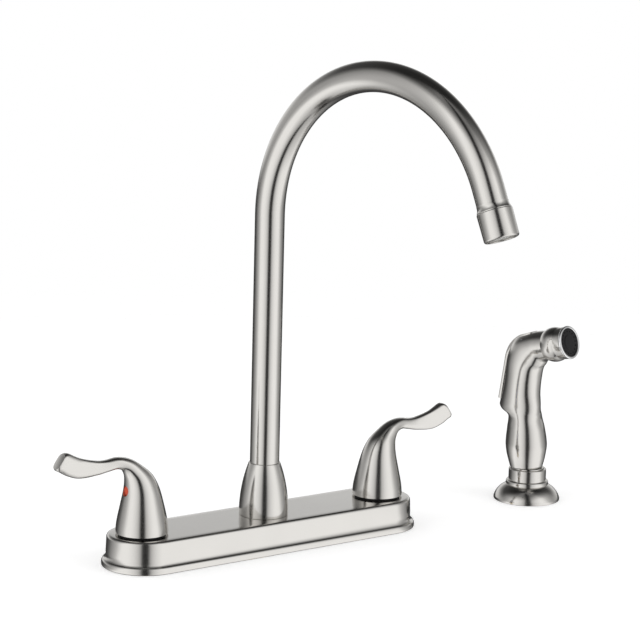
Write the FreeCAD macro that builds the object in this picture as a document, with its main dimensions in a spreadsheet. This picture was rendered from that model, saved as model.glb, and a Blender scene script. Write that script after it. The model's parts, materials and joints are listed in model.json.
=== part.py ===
"""Two handle kitchen faucet with a high bent spout and a side spray, in millimetres.

X runs along the deck plate, the user stands on the -Y side and Z is up.  The origin is the
spout's axis on the face of the sink deck, so the shanks and their nuts lie below zero.
"""
import FreeCAD, Part
import math
import os
from types import SimpleNamespace

import Sketcher

# name, value, what it measures
SIZES = (
    # deck plate and the pan under it
    ("plate_end", 23.9, "valve axis to the end of the plate's top outline"),
    ("plate_width", 52.6, "top outline of the deck plate, front to back"),
    ("plate_height", 22.3, "deck to the plate's top face"),
    ("plate_wall", 2.0, "wall of the plate"),
    ("plate_top_round", 2.3, "round along the plate's top edge"),
    ("plate_draft", 0.5, "how far the wall leans out on its way down"),
    ("foot_overhang", 3.7, "how far the bead stands out of the top outline"),
    ("foot_bead_height", 5.2, "height of the bead"),
    ("foot_cove_top", 10.0, "level where the cove meets the wall"),
    ("pan_thickness", 2.0, "thickness of the base pan"),
    ("loose_gap", 0.3, "gap between pieces that don't touch"),
    ("running_gap", 0.05, "radial play of a turning or sliding fit"),
    # valves
    ("handle_spacing", 203.2, "hot to cold, centre to centre"),
    ("shank_radius", 10.3, "valve shank, half of its outer diameter"),
    ("shank_plain", 10.0, "plain length of the shank through the deck"),
    ("shank_relief", 1.0, "length of the relief above the thread"),
    ("shank_thread_radius", 10.2, "valve shank thread, half of its outer diameter"),
    ("shank_length", 46.0, "how far the shanks reach below the deck"),
    ("supply_thread_length", 21.0, "thread at the shank's end that takes the supply nut"),
    ("inlet_radius", 5.5, "bore of the shank"),
    ("valve_foot_radius", 14.5, "foot of the valve body on the pan"),
    ("valve_foot_height", 3.0, "height of that foot"),
    ("valve_body_radius", 12.5, "valve body below the plate"),
    ("boss_radius", 10.9, "threaded boss that stands through the plate"),
    ("boss_top", 31.0, "level of the boss's upper face"),
    ("valve_bore_radius", 8.6, "bore that takes the cartridge"),
    ("valve_bore_floor", 8.0, "level of the bore's floor"),
    ("seal_height", 1.5, "height of the seat seal"),
    ("disc_radius", 7.0, "ceramic discs"),
    ("disc_height", 2.0, "height of each ceramic disc"),
    ("disc_port_radius", 1.9, "water port in each ceramic disc"),
    ("disc_port_reach", 3.6, "from the disc's axis to its port"),
    ("cartridge_bore_radius", 7.15, "inside of the cartridge housing round the discs"),
    ("cartridge_flange_radius", 10.6, "flange that the bonnet nut clamps"),
    ("cartridge_flange_height", 2.0, "height of that flange"),
    ("stem_drum_height", 3.5, "drum that turns the moving disc"),
    ("stem_radius", 4.5, "stem in its bearing"),
    ("stem_drive_radius", 3.9, "upper end of the stem that takes the handle"),
    ("stem_top", 57.5, "level of the stem's upper end"),
    ("nut_width", 24.6, "bonnet nut, across its flats"),
    ("nut_lip", 2.3, "height of the bonnet nut's lip"),
    ("nut_bottom", 24.6, "level of the bonnet nut's lower face"),
    ("base_ring_radius", 16.4, "dark ring under the handle skirt"),
    ("base_ring_height", 1.6, "height of that ring"),
    ("cross_tube_radius", 5.0, "waterway between valve and hub"),
    ("cross_tube_bore", 3.8, "bore of that waterway"),
    ("cross_tube_level", 12.5, "level of its axis"),
    ("washer_radius", 16.5, "shank washer"),
    ("washer_height", 2.5, "height of the shank washer"),
    ("lock_nut_radius", 15.0, "lock nut, round part"),
    ("lock_nut_height", 9.0, "height of the lock nut"),
    ("lock_nut_wing_reach", 20.0, "lock nut, axis to the end of a wing"),
    ("lock_nut_wing_width", 4.0, "thickness of a wing"),
    # handles
    ("skirt_radius", 18.3, "lower edge of the handle"),
    ("skirt_level", 24.2, "level of the handle's lower edge"),
    ("handle_wall", 2.2, "wall of the handle's skirt"),
    ("handle_neck_radius", 12.4, "handle body at its neck"),
    ("handle_neck_rise", 30.0, "neck above the lower edge"),
    ("handle_arch_reach", 20.0, "axis to the arch of the lever"),
    ("handle_arch_rise", 51.0, "arch above the lower edge"),
    ("lever_reach", 60.4, "axis to the middle of the lever's end face"),
    ("lever_rise", 54.2, "lever's end above the lower edge"),
    ("lever_end_depth", 14.2, "lever's end face, top corner to low corner"),
    ("lever_thickness", 6.2, "thickness of the paddle"),
    ("handle_socket_floor", 37.5, "level where the stem socket opens"),
    ("hot_rest_turn", 4.3, "how far the hot lever stands back at rest, degrees"),
    ("index_level", 53.5, "level of the index button and the screw behind it"),
    ("index_radius", 3.5, "index button"),
    ("index_face", 12.4, "axis to the button's face"),
    ("index_thickness", 1.8, "thickness of the button"),
    ("screw_radius", 2.5, "set screw"),
    ("screw_length", 5.4, "length of the set screw"),
    # spout
    ("spout_radius", 10.4, "spout tube, half of its outer diameter"),
    ("spout_wall", 1.2, "wall of the tube"),
    ("spout_arch_level", 236.4, "level of the arch's centre"),
    ("spout_arch_radius", 104.0, "radius of the arch on the tube's axis"),
    ("spout_arch_angle", 157.1, "angle that the arch turns, degrees"),
    ("spout_straight", 14.7, "straight run from the arch to the aerator cap"),
    ("spout_turn", 8.6, "how far the spout stands towards +X at rest, degrees"),
    ("tip_ring_length", 5.0, "coved ring above the aerator cap"),
    ("tip_ring_radius", 11.4, "coved ring at its wide end"),
    ("cap_radius", 11.8, "aerator cap"),
    ("cap_length", 19.0, "aerator cap"),
    ("cap_engagement", 7.5, "how far the tube reaches into the cap"),
    ("cap_mouth_radius", 8.8, "mouth of the cap"),
    ("cap_lip", 1.5, "height of the lip round the mouth"),
    ("screen_hole_radius", 0.9, "holes of the aerator insert"),
    # hub
    ("hub_radius", 10.5, "threaded hub that stands through the plate"),
    ("hub_foot_radius", 14.0, "foot of the hub on the pan"),
    ("hub_body_radius", 11.6, "hub below the plate"),
    ("hub_top", 42.5, "level of the hub's upper face"),
    ("hub_bore_radius", 8.0, "bore that takes the spout's foot"),
    ("hub_mix_radius", 5.0, "chamber where hot and cold meet"),
    ("hub_mix_floor", 6.0, "level of that chamber's floor"),
    ("diverter_floor", 20.0, "level of the diverter's seat"),
    ("diverter_seat_height", 4.0, "height of the seat"),
    ("diverter_stem_radius", 3.5, "diverter piston's stem"),
    ("diverter_cap_radius", 6.5, "diverter piston's cap"),
    ("spray_outlet_radius", 6.6, "threaded outlet for the spray hose"),
    ("spray_outlet_bore", 3.0, "bore of that outlet"),
    ("spray_outlet_length", 40.0, "how far the outlet reaches below the deck"),
    ("foot_end_level", 31.0, "level of the spout foot's lower end"),
    ("foot_bore_radius", 5.0, "bore of the spout foot"),
    ("foot_collar_radius", 9.9, "collar that the spout nut holds down"),
    ("foot_collar_height", 2.0, "height of that collar"),
    ("foot_neck_height", 2.3, "neck between the collar and the tube"),
    ("foot_plug_height", 13.0, "plug brazed into the tube"),
    ("thrust_washer_height", 0.5, "washer between hub and collar"),
    ("o_ring_height", 1.9, "O-ring"),
    ("o_ring_depth", 1.7, "depth of an O-ring's groove"),
    ("spout_nut_radius", 12.7, "spout nut"),
    ("spout_nut_bottom", 34.0, "level of the spout nut's lower face"),
    ("bell_base_radius", 17.5, "spout bell at the plate"),
    ("bell_height", 37.9, "height of the bell"),
    ("bell_top_radius", 11.1, "spout bell at the tube"),
    ("bell_straight", 2.0, "upright part at the bell's base"),
    ("bell_wall", 1.6, "wall of the bell"),
    # side spray
    ("spray_x", 247.8, "spout axis to spray axis"),
    ("spray_turn", 14.2, "how far the nozzle points from -Y towards +X, degrees"),
    ("flange_radius", 25.3, "domed flange"),
    ("flange_height", 11.8, "height of the dome"),
    ("flange_edge", 1.8, "upright edge at the foot of the dome"),
    ("flange_wall", 2.2, "wall of the dome"),
    ("bead_radius", 16.3, "bead on top of the dome"),
    ("bead_height", 3.6, "height of the bead"),
    ("collar_radius", 14.4, "collar above the bead"),
    ("collar_height", 8.9, "height of the collar"),
    ("holder_shank_radius", 13.2, "plain shank of the holder through the deck"),
    ("holder_thread_radius", 13.0, "thread of the holder below the deck"),
    ("holder_length", 38.0, "how far the holder reaches below the deck"),
    ("holder_thread_end", 12.0, "thread of the holder below its last groove"),
    ("holder_bore_radius", 10.6, "bore of the holder, where the hose passes"),
    ("holder_washer_radius", 20.0, "holder washer"),
    ("holder_nut_radius", 18.0, "holder nut, round part"),
    ("holder_nut_height", 8.0, "height of the holder nut"),
    ("coupling_rim_radius", 12.4, "rim of the hose coupling"),
    ("coupling_nose_radius", 9.4, "nose of the hose coupling"),
    ("coupling_hose_radius", 5.5, "spigot that the hose is crimped on"),
    ("coupling_hose_end", -4.0, "level of the spigot's end"),
    ("coupling_bore_radius", 3.2, "bore of the coupling"),
    ("post_radius", 6.5, "post that the sprayer turns on"),
    ("post_top", 40.0, "level of the post's top"),
    ("post_groove_level", 36.0, "level of the clip's groove"),
    ("post_groove_height", 1.2, "height of the groove"),
    ("post_groove_depth", 1.0, "depth of the groove"),
    ("clip_reach", 0.7, "how far the clip stands out of the post"),
    ("wand_foot_level", 25.6, "level of the sprayer's lower end"),
    ("wand_foot_radius", 12.5, "sprayer at its lower end"),
    ("wand_belly_level", 44.0, "level of the belly"),
    ("wand_belly_radius", 15.9, "belly of the sprayer"),
    ("wand_waist_level", 64.3, "level of the waist"),
    ("wand_waist_radius", 13.0, "waist of the sprayer"),
    ("wand_set_back", 1.65, "how far the sprayer's body stands behind its axis"),
    ("nozzle_reach", 33.85, "sprayer axis to the middle of the nozzle's rim"),
    ("nozzle_level", 127.6, "level of the middle of the nozzle's rim"),
    ("nozzle_rise", 15.0, "how far the nozzle points up, degrees"),
    ("head_length", 26.0, "from the bend to the nozzle's rim"),
    ("head_neck_radius", 11.2, "head where it leaves the bend"),
    ("head_groove_radius", 12.0, "groove between the head's ball and its front"),
    ("head_front_radius", 12.3, "head behind the rim"),
    ("rim_radius", 12.6, "polished rim"),
    ("rim_length", 2.2, "polished rim"),
    ("rim_bore_radius", 10.8, "inside of the rim"),
    ("rim_recess", 1.0, "how far the face lies behind the rim"),
    ("face_thickness", 1.1, "spray face"),
    ("face_disc_radius", 6.0, "raised centre of the spray face"),
    ("face_disc_height", 0.7, "height of that centre"),
    ("face_hole_radius", 0.5, "spray holes"),
    ("face_hole_ring", 8.4, "axis to the ring of spray holes"),
    ("trigger_width", 10.0, "trigger lever"),
    ("trigger_thickness", 2.2, "trigger lever"),
    ("trigger_low_x", -26.45, "outer face of the lever at its lip, along the nozzle's heading"),
    ("trigger_low_z", 75.9, "level of the lever's lip"),
    ("trigger_high_x", -22.15, "outer face of the lever below its bend"),
    ("trigger_high_z", 107.0, "level of that point"),
    ("trigger_crown_x", -8.75, "outer face of the lever past its bend"),
    ("trigger_crown_z", 128.0, "level of that point"),
    ("trigger_end_x", 0.25, "upper end of the lever"),
    ("trigger_end_z", 131.2, "level of that end"),
    ("trigger_bend", 24.2, "radius of the lever's bend"),
    ("trigger_pin_x", -4.1, "pin of the trigger, along the nozzle's heading"),
    ("trigger_pin_z", 124.0, "level of the pin"),
    ("trigger_pin_radius", 1.5, "pin of the trigger"),
    ("trigger_lug_radius", 3.6, "lug round the pin"),
    ("plunger_level", 98.0, "level of the valve plunger"),
    ("plunger_radius", 2.5, "valve plunger"),
    ("plunger_head_radius", 4.3, "valve disc on the plunger"),
    ("plunger_tip_x", -20.88, "outer end of the plunger at rest"),
    ("plunger_head_x", -8.4, "valve disc at rest"),
    ("valve_chamber_radius", 5.5, "chamber round the valve disc"),
    ("spring_room", 6.4, "room for the valve spring behind the disc"),
)


class Size:
    """A length or an angle, known both as a number and as a formula on the sheet."""

    def __init__(self, value, text):
        self.value = value
        self.text = text

    def __float__(self):
        return self.value

    def joined(self, other, sign, result):
        return Size(result, f"({self.text} {sign} {formula(other)})")

    def __add__(self, other):
        return self.joined(other, "+", self.value + float(other))

    def __sub__(self, other):
        return self.joined(other, "-", self.value - float(other))

    def __mul__(self, other):
        return self.joined(other, "*", self.value * float(other))

    def __truediv__(self, other):
        return self.joined(other, "/", self.value / float(other))

    def __neg__(self):
        return Size(-self.value, f"(-1 * {self.text})")

    def __radd__(self, other):
        return self + other

    def __rsub__(self, other):
        return -self + other

    def __rmul__(self, other):
        return self * other


def formula(size):
    return size.text if isinstance(size, Size) else repr(float(size))


def sine(angle):
    return Size(math.sin(math.radians(float(angle))), f"sin({formula(angle)} * 1deg)")


def cosine(angle):
    return Size(math.cos(math.radians(float(angle))), f"cos({formula(angle)} * 1deg)")


def fill_sheet(doc):
    """Write the driving sizes into the sheet and return them by name."""
    sheet = doc.addObject("Spreadsheet::Sheet", "sizes")
    named = {}
    for row, (name, value, meaning) in enumerate(SIZES, start=1):
        sheet.set(f"A{row}", name)
        sheet.set(f"B{row}", str(value))
        sheet.set(f"C{row}", meaning)
        sheet.setAlias(f"B{row}", name)
        named[name] = Size(value, f"sizes.{name}")
    doc.recompute()
    return SimpleNamespace(**named)


DOC = FreeCAD.newDocument("kitchen_faucet")
S = fill_sheet(DOC)
PIECES = []
SKIN_SIDES = 24
BEAD_BOW = 0.3115
COVE_BOW = 0.112
BELL_BOW = 0.0446
FLANGE_BOW = 0.1125
BALL_BOW = 0.13

# levels and places that several pieces share
PLATE_UNDERSIDE = S.plate_height - S.plate_wall
PAN_TOP = S.pan_thickness
HANDLE_X = S.handle_spacing / 2
ROUND_END = HANDLE_X + S.plate_end - S.plate_width / 2
NUT_TOP = S.boss_top + S.cartridge_flange_height + S.nut_lip
DISC_SEAT = S.valve_bore_floor + S.seal_height
DRUM_BOTTOM = DISC_SEAT + S.disc_height * 2 + S.running_gap * 2
FOOT_COLLAR_BOTTOM = S.hub_top + S.thrust_washer_height
FOOT_COLLAR_TOP = FOOT_COLLAR_BOTTOM + S.foot_collar_height
TUBE_BOTTOM = FOOT_COLLAR_TOP + S.foot_neck_height
O_RING_LEVELS = (S.foot_end_level + 2.0, S.foot_end_level + 6.5)
COLLAR_BOTTOM = S.flange_height + S.bead_height
COLLAR_TOP = COLLAR_BOTTOM + S.collar_height


def bind(thing, prop, size):
    thing.setExpression(prop, formula(size))


def set_place(thing, x=0.0, y=0.0, z=0.0, turn=0.0, pitch=0.0, roll=0.0):
    """Place a thing, turned about X by roll, then about Y by pitch, then about Z by turn."""
    spin = ";".join(formula(angle) for angle in (turn, pitch, roll))
    spot = ";".join(formula(length) for length in (x, y, z))
    thing.setExpression("Placement", f"placement(vector({spot}); rotation({spin}))")


def keep(thing, label, **place):
    """Name a finished piece, place it and put it on the list that is written out."""
    thing.Label = label
    set_place(thing, **place)
    PIECES.append(thing)
    return thing


def new_body(name):
    return DOC.addObject("PartDesign::Body", name)


def body_plane(body, role):
    return next(plane for plane in body.Origin.OriginFeatures if plane.Role == role)


def new_sketch(body, role, level=0.0):
    """An empty sketch on one of the body's own planes, or at a level above it."""
    sketch = body.newObject("Sketcher::SketchObject", f"{body.Name}_sketch")
    sketch.AttachmentSupport = [(body_plane(body, role), "")]
    sketch.MapMode = "FlatFace"
    bind(sketch, "AttachmentOffset.Base.z", level)
    return sketch


def add_sized(sketch, kind, *args):
    """Add a constraint whose last argument is its size, and tie it to the sheet."""
    *where, size = args
    number = sketch.addConstraint(Sketcher.Constraint(kind, *where, float(size)))
    if isinstance(size, Size):
        bind(sketch, f"Constraints[{number}]", size)


def fix_point(sketch, shape, end, x, y):
    """Hold a sketch point at x, y from the sketch's origin."""
    for size, kind, axis in ((x, "DistanceX", -2), (y, "DistanceY", -1)):
        if isinstance(size, int) and size == 0:
            sketch.addConstraint(Sketcher.Constraint("PointOnObject", shape, end, axis))
        else:
            add_sized(sketch, kind, -1, 1, shape, end, size)


def arc_between(start, end, bend):
    """The short arc from start to end: a positive bend turns left, a negative one right."""
    radius = abs(float(bend))
    half = (end - start) * 0.5
    left = FreeCAD.Vector(-half.y, half.x, 0).normalize()
    rise = math.sqrt(max(radius**2 - half.Length**2, 0.0))
    centre = start + half + left * (rise if float(bend) > 0 else -rise)
    if float(bend) < 0:
        start, end = end, start
    first = math.atan2(start.y - centre.y, start.x - centre.x)
    last = math.atan2(end.y - centre.y, end.x - centre.x)
    if last < first:
        last += 2 * math.pi
    circle = Part.Circle(centre, FreeCAD.Vector(0, 0, 1), radius)
    return Part.ArcOfCircle(circle, first, last)


def draw_outline(sketch, corners):
    """Draw a closed outline; a corner with a third value starts an arc of that radius."""
    spots = [FreeCAD.Vector(float(c[0]), float(c[1]), 0) for c in corners]
    ends = []
    for index, corner in enumerate(corners):
        start, end = spots[index], spots[(index + 1) % len(spots)]
        if len(corner) == 3:
            shape = sketch.addGeometry(arc_between(start, end, corner[2]), False)
            ends.append((shape, 1, 2) if float(corner[2]) > 0 else (shape, 2, 1))
            add_sized(sketch, "Radius", shape, abs_size(corner[2]))
        else:
            shape = sketch.addGeometry(Part.LineSegment(start, end), False)
            ends.append((shape, 1, 2))
    for index, (shape, head, tail) in enumerate(ends):
        after = ends[(index + 1) % len(ends)]
        sketch.addConstraint(Sketcher.Constraint("Coincident", shape, tail, after[0], after[1]))
        fix_point(sketch, shape, head, corners[index][0], corners[index][1])


def abs_size(size):
    return size if float(size) > 0 else -size


def draw_circle(sketch, x, y, radius):
    centre = FreeCAD.Vector(float(x), float(y), 0)
    circle = Part.Circle(centre, FreeCAD.Vector(0, 0, 1), float(radius))
    shape = sketch.addGeometry(circle, False)
    add_sized(sketch, "Radius", shape, radius)
    fix_point(sketch, shape, 3, x, y)


def turned_feature(body, kind, corners, level=0.0, role="XZ_Plane"):
    """Turn an outline of radii and levels once round the sketch's upright axis."""
    sketch = new_sketch(body, role, level)
    draw_outline(sketch, corners)
    feature = body.newObject(kind, f"{body.Name}_turned")
    feature.Profile = sketch
    feature.ReferenceAxis = (sketch, ["V_Axis"])
    feature.Angle = 360
    return feature


def lathe(name, corners):
    """A body turned round Z from an outline of radii and levels."""
    body = new_body(name)
    turned_feature(body, "PartDesign::Revolution", corners)
    return body


def groove(body, corners, level=0.0, role="XZ_Plane"):
    return turned_feature(body, "PartDesign::Groove", corners, level, role)


def straight_feature(body, kind, role, level, length, outlines, circles):
    sketch = new_sketch(body, role, level)
    for corners in outlines:
        draw_outline(sketch, corners)
    for x, y, radius in circles:
        draw_circle(sketch, x, y, radius)
    feature = body.newObject(kind, f"{body.Name}_straight")
    feature.Profile = sketch
    bind(feature, "Length", length)
    return feature


def pad(body, role, level, length, outlines=(), circles=()):
    """Add material from the level along the plane's normal."""
    return straight_feature(body, "PartDesign::Pad", role, level, length, outlines, circles)


def pocket(body, role, level, length, outlines=(), circles=()):
    """Remove material from the level against the plane's normal."""
    return straight_feature(body, "PartDesign::Pocket", role, level, length, outlines, circles)


def polar(body, feature, count, role="Z_Axis"):
    """Repeat a feature evenly round one of the body's own axes."""
    pattern = body.newObject("PartDesign::PolarPattern", f"{body.Name}_polar")
    pattern.Originals = [feature]
    pattern.Axis = (body_plane(body, role), [""])
    pattern.Angle = 360
    pattern.Occurrences = count
    body.Tip = pattern
    return pattern


def tube_outline(inner, outer, low, high):
    return [(inner, low), (outer, low), (outer, high), (inner, high)]


def bowed(start, end, bow, steps):
    """Points on a shallow curve from start up to, not with, end; bow is its rise over its chord."""
    points = []
    for step in range(steps):
        along = step / steps
        rise = 4 * bow * along * (1 - along)
        x = start[0] * (1 - along) + end[0] * along - (end[1] - start[1]) * rise
        y = start[1] * (1 - along) + end[1] * along + (end[0] - start[0]) * rise
        points.append((x, y))
    return points


def stadium(half_straight, radius):
    """A stadium along the sketch's first axis, as two lines and four quarter arcs."""
    a, b = half_straight, radius
    return [
        (-a, -b), (a, -b, b), (a + b, 0, b), (a, b),
        (-a, b, b), (-a - b, 0, b),
    ]


# ---------------------------------------------------------------- deck plate


def plate_half_outline():
    """Half section of the plate: bead, cove, wall and rounded top edge."""
    half = S.plate_width / 2
    wall_foot = half + S.plate_draft
    bead_edge = half + S.foot_overhang - 1.6
    return [
        (0, 0),
        *bowed((bead_edge, 0), (bead_edge, S.foot_bead_height), -BEAD_BOW, 6),
        (bead_edge, S.foot_bead_height),
        *bowed((bead_edge - 0.4, S.foot_bead_height + 0.3), (wall_foot, S.foot_cove_top), COVE_BOW, 4),
        (wall_foot, S.foot_cove_top),
        (half, S.plate_height - S.plate_top_round, S.plate_top_round),
        (half - S.plate_top_round, S.plate_height),
        (0, S.plate_height),
    ]


def plate_cavity_outline():
    """Half section of the hollow under the plate."""
    half = S.plate_width / 2 - S.plate_wall
    wide = half + S.foot_overhang - 1.1
    return [
        (0, 0),
        (wide, 0),
        (wide, S.foot_bead_height - 1.0),
        (half, S.foot_cove_top - 1.5),
        (half, PLATE_UNDERSIDE),
        (0, PLATE_UNDERSIDE),
    ]


def both_sides(half):
    """The whole section from its half, which starts and ends on the axis."""
    right = half[1:-1]
    left = []
    for index in range(len(right) - 1, -1, -1):
        bend = right[index - 1][2:] if index else ()
        left.append((-right[index][0], right[index][1]) + tuple(bend))
    return right + left


def make_deck_plate():
    body = new_body("plate")
    pad(body, "YZ_Plane", -ROUND_END, ROUND_END * 2, [both_sides(plate_half_outline())])
    for side in (-ROUND_END, ROUND_END):
        plane = new_sketch(body, "XZ_Plane")
        draw_shifted(plane, plate_half_outline(), side)
        spin_about(body, "PartDesign::Revolution", plane, side)
    pocket(body, "YZ_Plane", ROUND_END, ROUND_END * 2, [both_sides(plate_cavity_outline())])
    for side in (-ROUND_END, ROUND_END):
        plane = new_sketch(body, "XZ_Plane")
        draw_shifted(plane, plate_cavity_outline(), side)
        spin_about(body, "PartDesign::Groove", plane, side)
    hole = S.boss_radius + S.loose_gap * 2
    holes = [(-HANDLE_X, 0, hole), (HANDLE_X, 0, hole), (0, 0, S.hub_radius + S.loose_gap * 2)]
    pocket(body, "XY_Plane", S.plate_height, S.plate_wall * 2, circles=holes)
    keep(body, "deck_plate")


def draw_shifted(sketch, corners, shift):
    """Draw an outline beside an upright axis line that stands at the shift."""
    draw_outline(sketch, [(corner[0] + shift, corner[1]) + tuple(corner[2:]) for corner in corners])
    foot = FreeCAD.Vector(float(shift), 0, 0)
    head = FreeCAD.Vector(float(shift), 10, 0)
    line = sketch.addGeometry(Part.LineSegment(foot, head), True)
    sketch.addConstraint(Sketcher.Constraint("Vertical", line))
    add_sized(sketch, "DistanceY", line, 1, line, 2, 10.0)
    fix_point(sketch, line, 1, shift, 0)


def spin_about(body, kind, sketch, shift):
    """Turn a sketch round the construction line that draw_shifted left in it."""
    feature = body.newObject(kind, f"{body.Name}_turned")
    feature.Profile = sketch
    feature.ReferenceAxis = (sketch, ["Axis0"])
    feature.Angle = 360
    return feature


def make_base_pan():
    """Flat pan inside the plate's foot, with a hole for each shank and the spray outlet."""
    body = new_body("pan")
    edge = S.plate_width / 2 - S.plate_wall + S.foot_overhang - 1.1 - S.loose_gap
    gap = S.loose_gap
    holes = [
        (-HANDLE_X, 0, S.shank_radius + gap),
        (HANDLE_X, 0, S.shank_radius + gap),
        (0, 0, S.spray_outlet_radius + gap),
    ]
    pad(body, "XY_Plane", 0.0, S.pan_thickness, [stadium(ROUND_END, edge)], holes)
    keep(body, "base_pan")


# ---------------------------------------------------------------- valves


def make_valve_body(label, place):
    relief = S.shank_thread_radius - 0.5
    thread_top = -S.shank_plain - S.shank_relief
    supply_top = -S.shank_length + S.supply_thread_length
    body = lathe("valve_body", [
        (S.inlet_radius, -S.shank_length),
        (S.shank_thread_radius - 0.6, -S.shank_length),
        (S.shank_thread_radius, -S.shank_length + 0.6),
        (S.shank_thread_radius, supply_top),
        (relief, supply_top),
        (relief, supply_top + S.shank_relief),
        (S.shank_thread_radius, supply_top + S.shank_relief),
        (S.shank_thread_radius, thread_top),
        (relief, thread_top),
        (relief, -S.shank_plain),
        (S.shank_radius, -S.shank_plain),
        (S.shank_radius, PAN_TOP),
        (S.valve_foot_radius, PAN_TOP),
        (S.valve_foot_radius, PAN_TOP + S.valve_foot_height),
        (S.valve_body_radius, PAN_TOP + S.valve_foot_height),
        (S.valve_body_radius, PLATE_UNDERSIDE - S.loose_gap),
        (S.boss_radius, PLATE_UNDERSIDE - S.loose_gap),
        (S.boss_radius, S.boss_top),
        (S.valve_bore_radius, S.boss_top),
        (S.valve_bore_radius, S.valve_bore_floor),
        (S.inlet_radius, S.valve_bore_floor),
    ])
    port = (0, S.cross_tube_level, S.cross_tube_radius + S.running_gap)
    pocket(body, "YZ_Plane", S.valve_body_radius * 2, S.valve_body_radius * 2, circles=[port])
    keep(body, label, **place)


def make_cross_tube(label, side):
    """Waterway from a valve body's wall to the hub's wall."""
    near = S.hub_body_radius - 2.0
    far = HANDLE_X - S.valve_bore_radius - 1.0
    body = new_body("cross_tube")
    circles = [
        (0, S.cross_tube_level, S.cross_tube_radius),
        (0, S.cross_tube_level, S.cross_tube_bore),
    ]
    pad(body, "YZ_Plane", near, far - near, circles=circles)
    keep(body, label, turn=0.0 if side > 0 else 180.0)


def make_seat_seal(label, place):
    body = lathe("seat_seal", tube_outline(
        S.inlet_radius, S.valve_bore_radius - S.running_gap * 2, S.valve_bore_floor, DISC_SEAT))
    keep(body, label, **place)


def make_cartridge_housing(label, place):
    outer = S.valve_bore_radius - S.running_gap
    bearing = S.stem_radius + S.running_gap
    shoulder = DRUM_BOTTOM + S.stem_drum_height + S.loose_gap
    body = lathe("cartridge", [
        (S.cartridge_bore_radius, DISC_SEAT),
        (outer, DISC_SEAT),
        (outer, S.boss_top),
        (S.cartridge_flange_radius, S.boss_top),
        (S.cartridge_flange_radius, S.boss_top + S.cartridge_flange_height),
        (bearing, S.boss_top + S.cartridge_flange_height),
        (bearing, shoulder),
        (S.cartridge_bore_radius, shoulder),
    ])
    low = DISC_SEAT + S.disc_height
    window = [(-4.0, low), (4.0, low), (4.0, low + S.disc_height), (-4.0, low + S.disc_height)]
    pocket(body, "YZ_Plane", S.valve_bore_radius * 2, S.valve_bore_radius * 2, [window])
    keep(body, label, **place)


def make_disc(label, place, level, radius):
    """A ceramic disc with two water ports."""
    body = new_body("ceramic_disc")
    ports = [(0, S.disc_port_reach, S.disc_port_radius), (0, -S.disc_port_reach, S.disc_port_radius)]
    pad(body, "XY_Plane", level, S.disc_height, circles=[(0, 0, radius)] + ports)
    keep(body, label, **place)


def make_stem(label, place):
    body = lathe("stem", [
        (0, DRUM_BOTTOM),
        (S.disc_radius - 0.1, DRUM_BOTTOM),
        (S.disc_radius - 0.1, DRUM_BOTTOM + S.stem_drum_height),
        (S.stem_radius, DRUM_BOTTOM + S.stem_drum_height),
        (S.stem_radius, S.handle_socket_floor - 1.0),
        (S.stem_drive_radius, S.handle_socket_floor - 1.0),
        (S.stem_drive_radius, S.stem_top - 0.6),
        (S.stem_drive_radius - 0.6, S.stem_top),
        (0, S.stem_top),
    ])
    slot = [
        (S.stem_drive_radius - 0.6, S.index_level - 4.0),
        (S.stem_drive_radius + 1.0, S.index_level - 4.0),
        (S.stem_drive_radius + 1.0, S.stem_top + 1.0),
        (S.stem_drive_radius - 0.6, S.stem_top + 1.0),
    ]
    width = S.stem_drive_radius * 2
    pocket(body, "XZ_Plane", S.stem_drive_radius, width, [slot])
    keep(body, label, **place)


def hexagon(width):
    """Hexagon by the distance across its flats."""
    corner = width / math.sqrt(3.0)
    half = corner / 2
    flat = width / 2
    return [(corner, 0), (half, flat), (-half, flat), (-corner, 0), (-half, -flat), (half, -flat)]


def make_bonnet_nut(label, place):
    body = new_body("bonnet_nut")
    pad(body, "XY_Plane", S.nut_bottom, NUT_TOP - S.nut_bottom, [hexagon(S.nut_width)])
    thread = S.boss_radius + S.running_gap
    inner_top = NUT_TOP - S.nut_lip
    groove(body, [
        (0, S.nut_bottom - 1.0),
        (thread, S.nut_bottom - 1.0),
        (thread, inner_top),
        (S.stem_drum_height + S.stem_radius, inner_top),
        (S.stem_drum_height + S.stem_radius, NUT_TOP + 1.0),
        (0, NUT_TOP + 1.0),
    ])
    keep(body, label, **place)


def make_base_ring(label, place):
    low = S.plate_height
    body = lathe("base_ring", [
        (S.boss_radius + S.loose_gap, low),
        (S.base_ring_radius, low),
        (S.base_ring_radius, low + S.base_ring_height - 0.5),
        (S.base_ring_radius - 0.5, low + S.base_ring_height),
        (S.boss_radius + S.loose_gap, low + S.base_ring_height),
    ])
    keep(body, label, **place)


def make_shank_washer(label, x, bore, radius):
    top = -S.shank_plain - S.loose_gap
    body = lathe("shank_washer", [
        (bore, top - S.washer_height),
        (radius - 1.0, top - S.washer_height),
        (radius, top - S.washer_height + 1.0),
        (radius, top),
        (bore, top),
    ])
    keep(body, label, x=x)


def make_lock_nut(label, x, bore, radius, height, wing_reach, wings):
    """A nut with wings for the fingers, below its washer."""
    top = -S.shank_plain - S.loose_gap - S.washer_height
    body = lathe("lock_nut", tube_outline(bore, radius, top - height, top))
    half = S.lock_nut_wing_width / 2
    start = radius - 1.5
    wing = [(start, -half), (wing_reach, -half), (wing_reach, half), (start, half)]
    rib = pad(body, "XY_Plane", top - height, height - 1.5, [wing])
    polar(body, rib, wings)
    keep(body, label, x=x)


# ---------------------------------------------------------------- handles


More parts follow.
